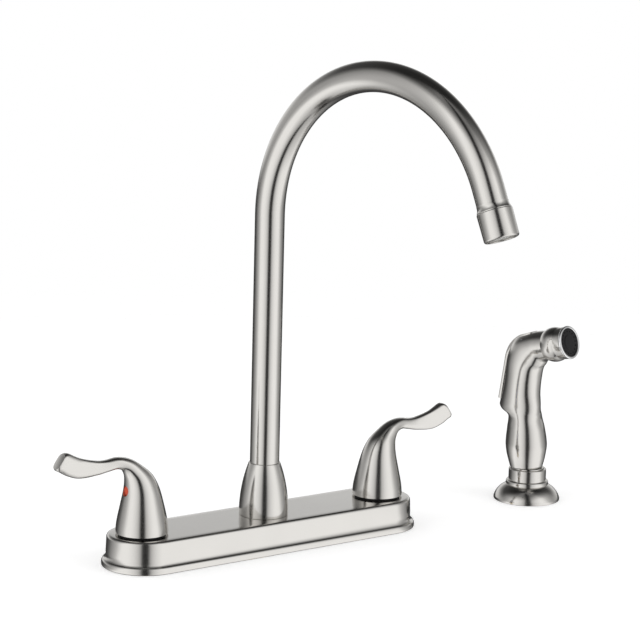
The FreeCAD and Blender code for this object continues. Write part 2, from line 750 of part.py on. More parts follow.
def section_wire(x, z, lean, half_depth, half_width, squareness):
    """One many-sided section of a skin, standing at x, z and leaning from level by an angle."""
    slope = math.radians(lean)
    points = []
    for index in range(SKIN_SIDES):
        angle = 2 * math.pi * (index + 0.5) / SKIN_SIDES
        across, along = math.cos(angle), math.sin(angle)
        depth = half_depth * math.copysign(abs(across) ** (2 / squareness), across)
        width = half_width * math.copysign(abs(along) ** (2 / squareness), along)
        points.append(FreeCAD.Vector(x + depth * math.cos(slope), width, z - depth * math.sin(slope)))
    return Part.makePolygon(points + points[:1])


def blended(stations, count):
    """More stations on smooth curves through the given ones, evenly spaced along the form."""
    rows = [[float(value) for value in station] for station in stations]
    walked = [0.0]
    for before, here in zip(rows, rows[1:]):
        walked.append(walked[-1] + math.dist(before[:3], here[:3]))
    curves = []
    for columns in ((0, 1, 2), (3, 4, 5)):
        curve = Part.BSplineCurve()
        spots = [FreeCAD.Vector(*[row[column] for column in columns]) for row in rows]
        curve.interpolate(Points=spots, Parameters=walked)
        curves.append(curve)
    out = []
    for index in range(count):
        along = walked[-1] * index / (count - 1)
        first, second = (curve.value(along) for curve in curves)
        out.append((first.x, first.y, first.z, second.x, second.y, second.z))
    return out


def skin(name, stations, count):
    """A closed form through stations of x, z, lean, half depth, half width and squareness."""
    wires = [section_wire(*station) for station in blended(stations, count)]
    form = DOC.addObject("Part::Feature", name)
    form.Shape = Part.makeLoft(wires, True, True)
    return form


def handle_stations():
    """The handle from its skirt over the arch and along the lever to its end face."""
    base, neck = S.skirt_level, S.skirt_level + S.handle_neck_rise
    arch_x, arch_z = S.handle_arch_reach, S.skirt_level + S.handle_arch_rise
    end_x, end_z = S.lever_reach, S.skirt_level + S.lever_rise
    half_blade = S.lever_thickness / 2
    skirt, throat = S.skirt_radius, S.handle_neck_radius
    return [
        (0, base, 0, skirt, skirt, 2),
        (0, base + 7, 0, skirt - 0.7, skirt - 0.7, 2),
        (0.1, neck - 12, 0, throat + 2.9, throat + 2.9, 2),
        (0.8, neck, 3, throat, throat, 2),
        (2.9, neck + 7.6, 10, throat - 2.4, throat - 2.2, 2.05),
        (arch_x - 13.1, arch_z - 6.8, 27, 7.0, 8.0, 2.2),
        (arch_x - 7.4, arch_z - 1.9, 55, 4.8, 6.1, 2.4),
        (arch_x, arch_z, 88, 4.0, 4.6, 2.7),
        (arch_x + 7.5, arch_z - 1.1, 97, 4.1, half_blade + 0.7, 2.9),
        (end_x - 25.8, arch_z - 3.1, 92, 4.9, half_blade + 0.3, 3.1),
        (end_x - 14.2, end_z - 6.3, 78, 6.8, half_blade, 3.3),
        (end_x - 6.5, end_z - 3.5, 66, 7.2, half_blade, 3.4),
        (end_x, end_z, 56, S.lever_end_depth / 2, half_blade, 3.4),
    ]


def make_handle_shell(label, place):
    form = skin("handle_form", handle_stations(), 20)
    body = new_body("handle")
    body.BaseFeature = form
    DOC.recompute()
    inner = S.skirt_radius - S.handle_wall
    roof = S.handle_socket_floor
    socket = S.stem_drive_radius + S.running_gap
    groove(body, [
        (0, S.skirt_level - 1.0),
        (inner, S.skirt_level - 1.0),
        (inner - 0.4, S.skirt_level + 5.0),
        (inner - 2.3, roof - 1.0),
        (inner - 3.3, roof),
        (socket, roof),
        (socket, S.stem_top + S.loose_gap),
        (0, S.stem_top + S.loose_gap),
    ])
    screw = S.screw_radius + S.running_gap
    button = S.index_radius + S.running_gap
    depth = S.skirt_radius * 2
    seat = S.index_face - S.index_thickness - S.loose_gap
    pocket(body, "YZ_Plane", depth, depth, circles=[(0, S.index_level, screw)])
    pocket(body, "YZ_Plane", depth, depth - seat, circles=[(0, S.index_level, button)])
    keep(body, label, **place)


def make_set_screw(label, place):
    body = new_body("set_screw")
    start = S.stem_drive_radius - 0.5
    pad(body, "YZ_Plane", start, S.screw_length, circles=[(0, S.index_level, S.screw_radius)])
    level = S.index_level
    half = 1.25
    key = [(-half, level - half), (half, level - half), (half, level + half), (-half, level + half)]
    pocket(body, "YZ_Plane", start + S.screw_length, 2.5, [key])
    keep(body, label, **place)


def make_index_button(label, place):
    """Round button with a bevelled rim, over the set screw."""
    back = S.index_face - S.index_thickness
    body = lathe("index_button", [
        (0, back),
        (S.index_radius, back),
        (S.index_radius, S.index_face - 0.5),
        (S.index_radius - 0.6, S.index_face),
        (0, S.index_face),
    ])
    spot = {key: value for key, value in place.items()}
    spot["z"] = S.index_level
    keep(body, label, pitch=90.0, **spot)


# ---------------------------------------------------------------- hub and spout


def make_spout_hub():
    body = lathe("hub", [
        (S.spray_outlet_bore, -S.spray_outlet_length),
        (S.spray_outlet_radius - 0.6, -S.spray_outlet_length),
        (S.spray_outlet_radius, -S.spray_outlet_length + 0.6),
        (S.spray_outlet_radius, -S.shank_plain),
        (S.spray_outlet_radius - 0.4, -S.shank_plain),
        (S.spray_outlet_radius - 0.4, PAN_TOP),
        (S.hub_foot_radius, PAN_TOP),
        (S.hub_foot_radius, PAN_TOP + S.valve_foot_height),
        (S.hub_body_radius, PAN_TOP + S.valve_foot_height),
        (S.hub_body_radius, PLATE_UNDERSIDE - S.loose_gap),
        (S.hub_radius, PLATE_UNDERSIDE - S.loose_gap),
        (S.hub_radius, S.hub_top),
        (S.hub_bore_radius, S.hub_top),
        (S.hub_bore_radius, S.diverter_floor),
        (S.hub_mix_radius, S.diverter_floor),
        (S.hub_mix_radius, S.hub_mix_floor),
        (S.spray_outlet_bore, S.hub_mix_floor),
    ])
    port = (0, S.cross_tube_level, S.cross_tube_radius + S.running_gap)
    reach = S.hub_body_radius * 2
    pocket(body, "YZ_Plane", reach, reach * 2, circles=[port])
    keep(body, "spout_hub")


def make_diverter():
    top = S.diverter_floor + S.diverter_seat_height
    seat = lathe("diverter_seat", tube_outline(
        S.diverter_stem_radius + S.running_gap, S.hub_bore_radius - S.running_gap,
        S.diverter_floor, top))
    keep(seat, "diverter_seat")
    rest = top + S.running_gap
    piston = lathe("diverter_piston", [
        (0, S.hub_mix_floor + 4.0),
        (S.diverter_stem_radius, S.hub_mix_floor + 4.0),
        (S.diverter_stem_radius, rest),
        (S.diverter_cap_radius, rest),
        (S.diverter_cap_radius, rest + 1.4),
        (S.diverter_cap_radius - 1.0, rest + 2.4),
        (0, rest + 2.4),
    ])
    keep(piston, "diverter_piston")


def make_spout_nut():
    top = FOOT_COLLAR_TOP + S.loose_gap + 1.6
    thread = S.hub_radius + S.running_gap
    inner_top = FOOT_COLLAR_TOP + S.loose_gap
    body = lathe("spout_nut", [
        (thread, S.spout_nut_bottom),
        (S.spout_nut_radius, S.spout_nut_bottom),
        (S.spout_nut_radius, top - 0.8),
        (S.spout_nut_radius - 0.8, top),
        (S.foot_collar_radius - 0.9, top),
        (S.foot_collar_radius - 0.9, inner_top),
        (thread, inner_top),
    ])
    keep(body, "spout_nut")
    washer = lathe("thrust_washer", tube_outline(
        S.hub_bore_radius + S.running_gap, S.foot_collar_radius, S.hub_top,
        FOOT_COLLAR_BOTTOM - S.running_gap))
    keep(washer, "spout_thrust_washer")


def make_spout_bell():
    """Ogive cover from the plate up to the tube."""
    low = S.plate_height
    top = low + S.bell_height
    bore = S.spout_radius + S.running_gap * 2
    skirt = (S.bell_base_radius, low + S.bell_straight)
    inner_skirt = (S.bell_base_radius - S.bell_wall, low + S.bell_straight)
    inner_top = (S.bell_top_radius, top - 6.0)
    body = lathe("bell", [
        (S.bell_base_radius - S.bell_wall, low),
        (S.bell_base_radius, low),
        *bowed(skirt, (S.bell_top_radius, top), -BELL_BOW, 6),
        (S.bell_top_radius, top),
        (bore, top),
        (bore, top - 5.0),
        *bowed(inner_top, inner_skirt, BELL_BOW, 4),
        inner_skirt,
    ])
    keep(body, "spout_bell")


def make_spout_tube():
    """Riser, arch and straight end, swept along their axis."""
    body = new_body("tube")
    ring = new_sketch(body, "XY_Plane")
    draw_circle(ring, 0, 0, S.spout_radius)
    draw_circle(ring, 0, 0, S.spout_radius - S.spout_wall)
    path = new_sketch(body, "YZ_Plane")
    riser = S.spout_arch_level - TUBE_BOTTOM
    bend = S.spout_arch_radius
    end_y = -bend + bend * cosine(S.spout_arch_angle)
    end_z = riser + bend * sine(S.spout_arch_angle)
    run = S.spout_straight + S.cap_engagement
    tip_y = end_y - run * sine(S.spout_arch_angle)
    tip_z = end_z + run * cosine(S.spout_arch_angle)
    vector = FreeCAD.Vector
    circle = Part.Circle(vector(-float(bend), float(riser), 0), vector(0, 0, 1), float(bend))
    shapes = [
        Part.LineSegment(vector(0, 0, 0), vector(0, float(riser), 0)),
        Part.ArcOfCircle(circle, 0.0, math.radians(float(S.spout_arch_angle))),
        Part.LineSegment(vector(float(end_y), float(end_z), 0), vector(float(tip_y), float(tip_z), 0)),
    ]
    for shape in shapes:
        path.addGeometry(shape, False)
    path.addConstraint(Sketcher.Constraint("Coincident", 0, 2, 1, 1))
    path.addConstraint(Sketcher.Constraint("Coincident", 1, 2, 2, 1))
    fix_point(path, 0, 1, 0, 0)
    fix_point(path, 0, 2, 0, riser)
    fix_point(path, 1, 2, end_y, end_z)
    add_sized(path, "Radius", 1, bend)
    fix_point(path, 2, 2, tip_y, tip_z)
    pipe = body.newObject("PartDesign::AdditivePipe", "tube_pipe")
    pipe.Profile = ring
    pipe.Spine = path
    keep(body, "spout_tube", z=TUBE_BOTTOM, turn=S.spout_turn)


def make_spout_foot():
    """Brass foot brazed into the tube, with its collar and two O-ring grooves."""
    slide = S.hub_bore_radius - S.running_gap
    plug = S.spout_radius - S.spout_wall - 0.02
    corners = [(S.foot_bore_radius, S.foot_end_level), (slide, S.foot_end_level)]
    for level in O_RING_LEVELS:
        top = level + S.o_ring_height + 0.1
        corners += [(slide, level), (slide - S.o_ring_depth, level),
                    (slide - S.o_ring_depth, top), (slide, top)]
    corners += [
        (slide, FOOT_COLLAR_BOTTOM),
        (S.foot_collar_radius, FOOT_COLLAR_BOTTOM),
        (S.foot_collar_radius, FOOT_COLLAR_TOP),
        (slide + 0.4, FOOT_COLLAR_TOP),
        (slide + 0.4, TUBE_BOTTOM - 0.02),
        (plug, TUBE_BOTTOM - 0.02),
        (plug, TUBE_BOTTOM + S.foot_plug_height),
        (S.foot_bore_radius, TUBE_BOTTOM + S.foot_plug_height),
    ]
    keep(lathe("spout_foot", corners), "spout_foot", turn=S.spout_turn)
    for label, level in zip(("spout_o_ring_lower", "spout_o_ring_upper"), O_RING_LEVELS):
        inner, outer = slide - S.o_ring_depth + 0.02, slide - 0.02
        low, high = level + 0.03, level + S.o_ring_height
        soft = 0.5
        ring = lathe("o_ring", [
            (inner, low + soft), (inner + soft, low), (outer - soft, low), (outer, low + soft),
            (outer, high - soft), (outer - soft, high), (inner + soft, high), (inner, high - soft),
        ])
        keep(ring, label, turn=S.spout_turn)


def spout_end_place():
    """Where the aerator cap starts: its Z runs out of the spout."""
    bend, angle, turn = S.spout_arch_radius, S.spout_arch_angle, S.spout_turn
    reach = bend - bend * cosine(angle) + S.spout_straight * sine(angle)
    level = S.spout_arch_level + bend * sine(angle) + S.spout_straight * cosine(angle)
    return {
        "x": reach * sine(turn), "y": -(reach * cosine(turn)), "z": level,
        "turn": turn, "roll": angle,
    }


def make_spout_end():
    place = spout_end_place()
    fit = S.spout_radius + 0.02
    ring = lathe("tip_ring", [
        (fit, -S.tip_ring_length),
        *bowed((fit + 0.15, -S.tip_ring_length), (S.tip_ring_radius, -0.6), 0.08, 4),
        (S.tip_ring_radius, -0.6),
        (S.tip_ring_radius, 0),
        (fit, 0),
    ])
    keep(ring, "spout_tip_ring", **place)
    lip_back = S.cap_length - S.cap_lip
    cap = lathe("aerator_cap", [
        (fit + 0.03, 0.02),
        (S.cap_radius - 0.5, 0.02),
        (S.cap_radius, 0.5),
        (S.cap_radius - 0.25, S.cap_length - 1.5),
        (S.cap_radius - 0.7, S.cap_length - 0.4),
        (S.cap_radius - 1.75, S.cap_length),
        (S.cap_mouth_radius, S.cap_length),
        (S.cap_mouth_radius, lip_back),
        (fit + 0.03, lip_back),
    ])
    keep(cap, "aerator_housing", **place)
    washer_top = S.cap_engagement + 0.05
    washer = lathe("aerator_washer", tube_outline(
        S.cap_mouth_radius - 1.5, S.spout_radius, washer_top, washer_top + 1.5))
    keep(washer, "aerator_washer", **place)
    make_aerator_insert(place, washer_top + 1.55, lip_back - 0.02)


def make_aerator_insert(place, low, high):
    """Flow straightener: a drum with a centre hole and two rings of holes."""
    body = new_body("aerator_insert")
    pad(body, "XY_Plane", low, high - low, circles=[(0, 0, S.spout_radius - 0.1)])
    hole = S.screen_hole_radius
    pocket(body, "XY_Plane", high, high - low, circles=[(0, 0, hole)])
    for ring, count in ((hole * 3.2, 6), (hole * 6.4, 12)):
        one = pocket(body, "XY_Plane", high, high - low, circles=[(ring, 0, hole)])
        polar(body, one, count)
    keep(body, "aerator_insert", **place)


# ---------------------------------------------------------------- side spray

SPRAY_PLACE = {"x": S.spray_x, "turn": S.spray_turn - 90.0}


def make_holder():
    inner = S.holder_shank_radius + 0.1
    roof = S.flange_height - S.flange_wall
    shoulder = (S.bead_radius - 0.2, S.flange_height)
    flange = lathe("holder_flange", [
        (inner + 4.5, 0),
        (S.flange_radius - S.flange_wall, 0),
        (S.flange_radius - 0.8, 0),
        (S.flange_radius, 0.8),
        *bowed((S.flange_radius, S.flange_edge), shoulder, -FLANGE_BOW, 6),
        shoulder,
        (S.bead_radius, S.flange_height + 0.7),
        (S.bead_radius, COLLAR_BOTTOM - 1.2),
        (S.bead_radius - 0.4, COLLAR_BOTTOM - 0.4),
        (S.bead_radius - 1.2, COLLAR_BOTTOM),
        (inner, COLLAR_BOTTOM),
        (inner, roof - 4.0),
        (inner + 4.5, roof - 6.0),
    ])
    keep(flange, "holder_flange", x=S.spray_x)
    relief = S.holder_thread_radius - 0.5
    thread_top = -S.shank_plain - S.shank_relief
    thread_mid = -S.holder_length + S.holder_thread_end
    collar = lathe("holder_collar", [
        (S.holder_bore_radius, -S.holder_length),
        (S.holder_thread_radius, -S.holder_length),
        (S.holder_thread_radius, thread_mid),
        (relief, thread_mid),
        (relief, thread_mid + S.shank_relief),
        (S.holder_thread_radius, thread_mid + S.shank_relief),
        (S.holder_thread_radius, thread_top),
        (relief, thread_top),
        (relief, -S.shank_plain),
        (S.holder_shank_radius, -S.shank_plain),
        (S.holder_shank_radius, -0.3),
        (S.holder_shank_radius - 0.1, -0.3),
        (S.holder_shank_radius - 0.1, COLLAR_BOTTOM),
        (S.collar_radius, COLLAR_BOTTOM),
        (S.collar_radius, COLLAR_TOP - 0.6),
        (S.collar_radius - 0.6, COLLAR_TOP),
        (S.coupling_rim_radius + S.loose_gap, COLLAR_TOP),
        (S.coupling_rim_radius + S.loose_gap, COLLAR_TOP - 2.0),
        (S.holder_bore_radius, COLLAR_TOP - 8.0),
    ])
    keep(collar, "holder_collar", x=S.spray_x)


def make_hose_coupling():
    """Cone that sits in the collar, the spigot below it and the post above it."""
    rim = S.coupling_rim_radius
    rim_low = COLLAR_TOP - 1.5
    post = S.post_radius
    dip = S.post_groove_level
    clip_top = dip + S.post_groove_height
    neck = post - S.post_groove_depth
    body = lathe("hose_coupling", [
        (S.coupling_bore_radius, S.coupling_hose_end),
        (S.coupling_hose_radius, S.coupling_hose_end),
        (S.coupling_hose_radius, COLLAR_TOP - 12.0),
        (S.coupling_nose_radius, COLLAR_TOP - 12.0),
        (S.coupling_nose_radius, COLLAR_TOP - 8.4),
        (rim, rim_low),
        (rim, S.wand_foot_level - 0.4),
        (post, S.wand_foot_level - 0.4),
        (post, dip), (neck, dip), (neck, clip_top), (post, clip_top),
        (post, S.post_top),
        (S.coupling_bore_radius, S.post_top),
    ])
    keep(body, "hose_coupling", **SPRAY_PLACE)
    gap = S.running_gap
    reach = post + S.clip_reach
    clip = lathe("coupling_clip", tube_outline(neck + gap, reach, dip + gap, clip_top - gap))
    mouth = [(0, -2.5), (post * 2, -2.5), (post * 2, 2.5), (0, 2.5)]
    pocket(clip, "XY_Plane", clip_top + 1.0, S.post_groove_height + 2.0, [mouth])
    keep(clip, "coupling_clip", **SPRAY_PLACE)


def wand_stations():
    """The sprayer from its foot over belly, waist and thumb rest into the bent head."""
    foot, belly, waist = S.wand_foot_radius, S.wand_belly_radius, S.wand_waist_radius
    foot_z, belly_z, waist_z = S.wand_foot_level, S.wand_belly_level, S.wand_waist_level
    back = -S.wand_set_back
    return [
        (back + 0.2, foot_z, 0, foot, foot, 2),
        (back, foot_z + 5.5, 0, foot + 1.5, foot + 1.5, 2),
        (back - 0.3, foot_z + 11, 0, foot + 2.7, foot + 2.7, 2),
        (back - 0.5, belly_z, 0, belly, belly, 2),
        (back - 1.3, belly_z + 12, 0, belly - 1.4, belly - 1.4, 2),
        (back - 2.4, waist_z, 0, waist, waist, 2),
        (back - 5.2, waist_z + 3.8, 0, waist + 2.3, waist - 0.2, 2),
        (back - 7.4, waist_z + 7.0, 0, waist + 3.9, waist - 0.6, 2.05),
        (back - 7.4, waist_z + 10.2, 0, waist + 3.8, waist - 0.6, 2.05),
        (back - 6.7, waist_z + 19.7, 1, waist + 2.0, waist - 0.7, 2.1),
        (back - 5.6, waist_z + 30.7, 4, waist + 1.2, waist - 0.6, 2.2),
        (back - 4.2, waist_z + 41.7, 13, waist + 1.3, waist - 0.6, 2.4),
        (back - 0.3, waist_z + 50.2, 35, waist + 1.8, waist - 0.7, 2.5),
        (back + 6.2, waist_z + 54.6, 58, waist - 0.1, waist - 1.0, 2.2),
        (back + 11.6, waist_z + 57.0, 75, waist - 1.3, waist - 1.4, 2),
        (back + 16.5, waist_z + 58.3, 75, waist - 1.7, waist - 1.7, 2),
    ]


def head_place():
    """Where the head starts: its Z runs out of the nozzle."""
    return {
        "x": S.nozzle_reach - S.head_length * cosine(S.nozzle_rise),
        "z": S.nozzle_level - S.head_length * sine(S.nozzle_rise),
        "pitch": 90.0 - S.nozzle_rise,
    }


def trigger_outline(inward):
    """Outer line of the lever and, below it by the given depth, its inner line."""
    low = (S.trigger_low_x, S.trigger_low_z)
    high = (S.trigger_high_x, S.trigger_high_z)
    crown = (S.trigger_crown_x, S.trigger_crown_z)
    end = (S.trigger_end_x, S.trigger_end_z)
    return [
        (low[0] + inward, low[1] - 0.3),
        (low[0] - 0.3, low[1]),
        (low[0], low[1] + 2.0),
        (high[0], high[1], -S.trigger_bend),
        crown,
        end,
        (end[0] + 0.6, end[1] - inward),
    ]


def make_trigger():
    body = new_body("trigger")
    thick = S.trigger_thickness
    pin_x, pin_z, lug = S.trigger_pin_x, S.trigger_pin_z, S.trigger_lug_radius
    inner = [
        (pin_x + lug, S.trigger_end_z - thick - 0.5),
        (pin_x + lug, pin_z, -lug),
        (pin_x, pin_z - lug, -lug),
        (pin_x - lug, pin_z),
        (pin_x - lug, S.trigger_crown_z - thick + 0.4),
        (S.trigger_crown_x + 0.7, S.trigger_crown_z - thick + 0.1, S.trigger_bend - thick),
        (S.trigger_high_x + thick, S.trigger_high_z - 0.3),
    ]
    outline = trigger_outline(thick) + inner
    half = S.trigger_width / 2
    pin = [(pin_x, pin_z, S.trigger_pin_radius + S.running_gap)]
    pad(body, "XZ_Plane", -half, S.trigger_width, [outline], pin)
    keep(body, "trigger", **SPRAY_PLACE)


def trigger_channel():
    """What the trigger sweeps in the sprayer's back, as a body to cut with."""
    body = new_body("trigger_channel")
    pin_x, pin_z = S.trigger_pin_x, S.trigger_pin_z
    room = S.trigger_lug_radius + S.loose_gap
    ledge, dive = S.trigger_low_z - 0.7, S.trigger_low_z - 2.6
    outside = S.trigger_low_x - 8.0
    outline = [
        (outside, ledge),
        (S.trigger_low_x - 0.3, ledge),
        (S.trigger_low_x + 3.4, dive),
        (S.trigger_low_x + 7.9, dive),
        (S.trigger_high_x + 4.7, S.trigger_high_z - 1.5),
        (pin_x - room - 1.5, pin_z - 3.2),
        (pin_x - room + 1.1, pin_z - 2.6, room),
        (pin_x, pin_z - room, room),
        (pin_x + room, pin_z),
        (pin_x + room, S.trigger_end_z - S.trigger_thickness - 0.9),
        (S.trigger_end_x + 0.9, S.trigger_end_z - S.trigger_thickness - 0.4),
        (S.trigger_end_x + 0.9, S.trigger_end_z + 6.0),
        (outside, S.trigger_end_z + 6.0),
    ]
    width = S.trigger_width + S.loose_gap * 2
    pad(body, "XZ_Plane", -width / 2, width, [outline])
    return body


def cutter(name, corners, **place):
    """A turned body, placed inside the sprayer, to cut with."""
    body = lathe(name, corners)
    set_place(body, **place)
    return body


def wand_cutters():
    gap = S.running_gap
    base = S.wand_foot_level - 2.0
    clip_room = S.post_radius + S.clip_reach + gap
    clip_top = S.post_groove_level + S.post_groove_height
    post_room = cutter("post_room", [
        (0, base), (S.post_radius + gap, base),
        (S.post_radius + gap, S.post_groove_level), (clip_room, S.post_groove_level),
        (clip_room, clip_top), (S.post_radius + gap, clip_top),
        (S.post_radius + gap, S.post_top + 0.5),
        (S.coupling_bore_radius, S.post_top + 0.5), (S.coupling_bore_radius, S.plunger_level),
        (0, S.plunger_level),
    ])
    chamber_start = S.plunger_head_x - 2.6
    chamber_end = S.plunger_head_x + S.spring_room + 6.5
    plunger_room = cutter("plunger_room", [
        (0, S.plunger_tip_x - 6.0), (S.plunger_radius + gap, S.plunger_tip_x - 6.0),
        (S.plunger_radius + gap, chamber_start), (S.valve_chamber_radius, chamber_start),
        (S.valve_chamber_radius, chamber_end), (0, chamber_end),
    ], z=S.plunger_level, pitch=90.0)
    head = head_place()
    front = S.head_length - S.rim_length
    nozzle_room = cutter("nozzle_room", [
        (0, 2.0), (S.face_disc_radius, 2.0), (S.face_disc_radius, front - 5.0),
        (S.rim_bore_radius - 1.0, front - 5.0), (S.rim_bore_radius - 1.0, front + 1.0),
        (0, front + 1.0),
    ], **head)
    pin = cutter("pin_room", [
        (0, -S.trigger_width), (S.trigger_pin_radius + 0.02, -S.trigger_width),
        (S.trigger_pin_radius + 0.02, S.trigger_width), (0, S.trigger_width),
    ], x=S.trigger_pin_x, z=S.trigger_pin_z, roll=90.0)
    return [post_room, plunger_room, nozzle_room, pin, trigger_channel()]


def make_sprayer_body():
    form = skin("wand_form", wand_stations(), 26)
    front = S.head_length - S.rim_length
    groove_z = S.head_length - 6.8
    head = lathe("wand_head", [
        (0, -1.5),
        (S.head_neck_radius - 0.6, -1.5),
        (S.head_neck_radius, 1.0),
        *bowed((S.head_neck_radius, 5.8), (S.head_groove_radius, groove_z), -BALL_BOW, 7),
        (S.head_groove_radius, groove_z),
        (S.head_front_radius, groove_z + 1.5),
        (S.head_front_radius, front),
        (0, front),
    ])
    set_place(head, **head_place())
    whole = DOC.addObject("Part::MultiFuse", "wand_whole")
    whole.Shapes = [form, head]
    tools = DOC.addObject("Part::MultiFuse", "wand_tools")
    tools.Shapes = wand_cutters()
    body = DOC.addObject("Part::Cut", "sprayer")
    body.Base = whole
    body.Tool = tools
    keep(body, "sprayer_body", **SPRAY_PLACE)


def place_on_head():
    """The head's place, carried to the sprayer's stand and heading."""
    head = head_place()
    turn = SPRAY_PLACE["turn"]
    return {
        "x": S.spray_x + head["x"] * cosine(turn), "y": head["x"] * sine(turn), "z": head["z"],
        "turn": turn, "pitch": head["pitch"],
    }


def make_nozzle():
    place = place_on_head()
    start = S.head_length - S.rim_length + 0.02
    end = S.head_length
    rim = lathe("nozzle_rim", [
        (S.rim_bore_radius, start),
        (S.head_front_radius, start),
        (S.rim_radius, start + 0.5),
        (S.rim_radius, end - 0.8),
        (S.rim_radius - 0.3, end - 0.2),
        (S.rim_radius - 0.8, end),
        (S.rim_bore_radius + 0.6, end),
        (S.rim_bore_radius, end - 0.6),
    ])
    keep(rim, "nozzle_rim", **place)
    face = end - S.rim_recess
    back = face - S.face_thickness
    edge = S.rim_bore_radius - 0.05
    plug = S.rim_bore_radius - 1.1
    body = lathe("nozzle_face", [
        (0, S.head_length - S.rim_length - 4.0),
        (plug, S.head_length - S.rim_length - 4.0),
        (plug, back),
        (edge, back),
        (edge, face),
        (S.face_disc_radius, face),
        (S.face_disc_radius - 0.4, face + S.face_disc_height),
        (0, face + S.face_disc_height),
    ])
    one = pocket(body, "XY_Plane", face, 2.0, circles=[(S.face_hole_ring, 0, S.face_hole_radius)])
    polar(body, one, 16)
    keep(body, "nozzle_face", **place)


def make_trigger_pin():
    turn = SPRAY_PLACE["turn"]
    half = S.trigger_width / 2 + 4.0
    body = lathe("trigger_pin", [
        (0, -half), (S.trigger_pin_radius, -half), (S.trigger_pin_radius, half), (0, half),
    ])
    keep(body, "trigger_pin", x=S.spray_x + S.trigger_pin_x * cosine(turn),
         y=S.trigger_pin_x * sine(turn), z=S.trigger_pin_z, turn=turn, roll=90.0)


def plunger_place():
    return {"x": S.spray_x, "z": S.plunger_level, "turn": SPRAY_PLACE["turn"], "pitch": 90.0}


def make_valve_plunger():
    head = S.plunger_head_x
    body = lathe("valve_plunger", [
        (0, S.plunger_tip_x),
        (S.plunger_radius - 0.8, S.plunger_tip_x),
        (S.plunger_radius, S.plunger_tip_x + 0.8),
        (S.plunger_radius, head),
        (S.plunger_head_radius, head),
        (S.plunger_head_radius, head + 1.5),
        (S.plunger_radius - 0.5, head + 1.5),
        (S.plunger_radius - 0.5, head + 4.0),
        (0, head + 4.0),
    ])
    keep(body, "valve_plunger", **plunger_place())


# ---------------------------------------------------------------- the whole faucet


def make_valve_side(name, side):
    """Everything of one valve that stays still; side is -1 for hot and 1 for cold."""
    x = HANDLE_X * float(side)
    place = {"x": x, "turn": 180.0 if side > 0 else 0.0}
    make_valve_body(f"{name}_valve_body", place)
    make_cross_tube(f"{name}_cross_tube", side)
    make_seat_seal(f"{name}_seat_seal", place)
    make_cartridge_housing(f"{name}_cartridge_housing", place)
    make_disc(f"{name}_fixed_disc", place, DISC_SEAT, S.disc_radius)
    make_bonnet_nut(f"{name}_bonnet_nut", place)
    make_base_ring(f"{name}_base_ring", place)
    bore = S.shank_thread_radius + S.running_gap
    make_shank_washer(f"{name}_shank_washer", x, bore, S.washer_radius)
    make_lock_nut(f"{name}_lock_nut", x, bore, S.lock_nut_radius, S.lock_nut_height,
                  S.lock_nut_wing_reach, 4)


def make_handle(name, side):
    """Everything that turns with one handle, its lever pointing away from the spout."""
    turn = 180.0 - S.hot_rest_turn if side < 0 else 0.0
    place = {"x": HANDLE_X * float(side), "turn": turn}
    make_handle_shell(f"{name}_handle_shell", place)
    make_stem(f"{name}_stem", place)
    upper = DISC_SEAT + S.disc_height + S.running_gap
    make_disc(f"{name}_moving_disc", place, upper, S.disc_radius - 0.05)
    make_set_screw(f"{name}_set_screw", place)
    make_index_button(f"{name}_index_button", place)


def make_faucet():
    make_deck_plate()
    make_base_pan()
    for name, side in (("hot", -1), ("cold", 1)):
        make_valve_side(name, side)
        make_handle(name, side)
    make_spout_hub()
    make_diverter()
    make_spout_nut()
    make_spout_bell()
    make_spout_tube()
    make_spout_foot()
    make_spout_end()
    make_holder()
    holder_bore = S.holder_thread_radius + S.running_gap
    make_shank_washer("holder_washer", S.spray_x, holder_bore, S.holder_washer_radius)
    make_lock_nut("holder_nut", S.spray_x, holder_bore, S.holder_nut_radius,
                  S.holder_nut_height, S.holder_nut_radius + 4.0, 6)
    make_hose_coupling()
    make_sprayer_body()
    make_nozzle()
    make_trigger()
    make_trigger_pin()
    make_valve_plunger()


def check_document():
    """Stop if any object failed or any piece has no sound solid."""
    for thing in DOC.Objects:
        if "Invalid" in thing.State or "Error" in thing.State:
            raise RuntimeError(f"{thing.Name} ({thing.Label}) failed: {thing.State}")
    for piece in PIECES:
        if piece.Shape.isNull() or not piece.Shape.isValid() or not piece.Shape.Solids:
            raise RuntimeError(f"{piece.Label} has no sound shape")


def write_pieces():
    os.makedirs("parts", exist_ok=True)
    for piece in PIECES:
        piece.Shape.exportStep(f"parts/{piece.Label}.step")


make_faucet()
DOC.recompute()
check_document()
write_pieces()
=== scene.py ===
"""Looks of a kitchen faucet with two lever handles, a high bent spout and a side spray.

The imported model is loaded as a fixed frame.  Smooth metal pieces are turned, spun and lofted
over it, and every node that stays gets a finish of its own.  Lengths are in metres.
"""
import json
import math

import bmesh
import bpy
from bpy.props import FloatProperty, FloatVectorProperty, IntProperty, PointerProperty
from mathutils import Matrix, Vector


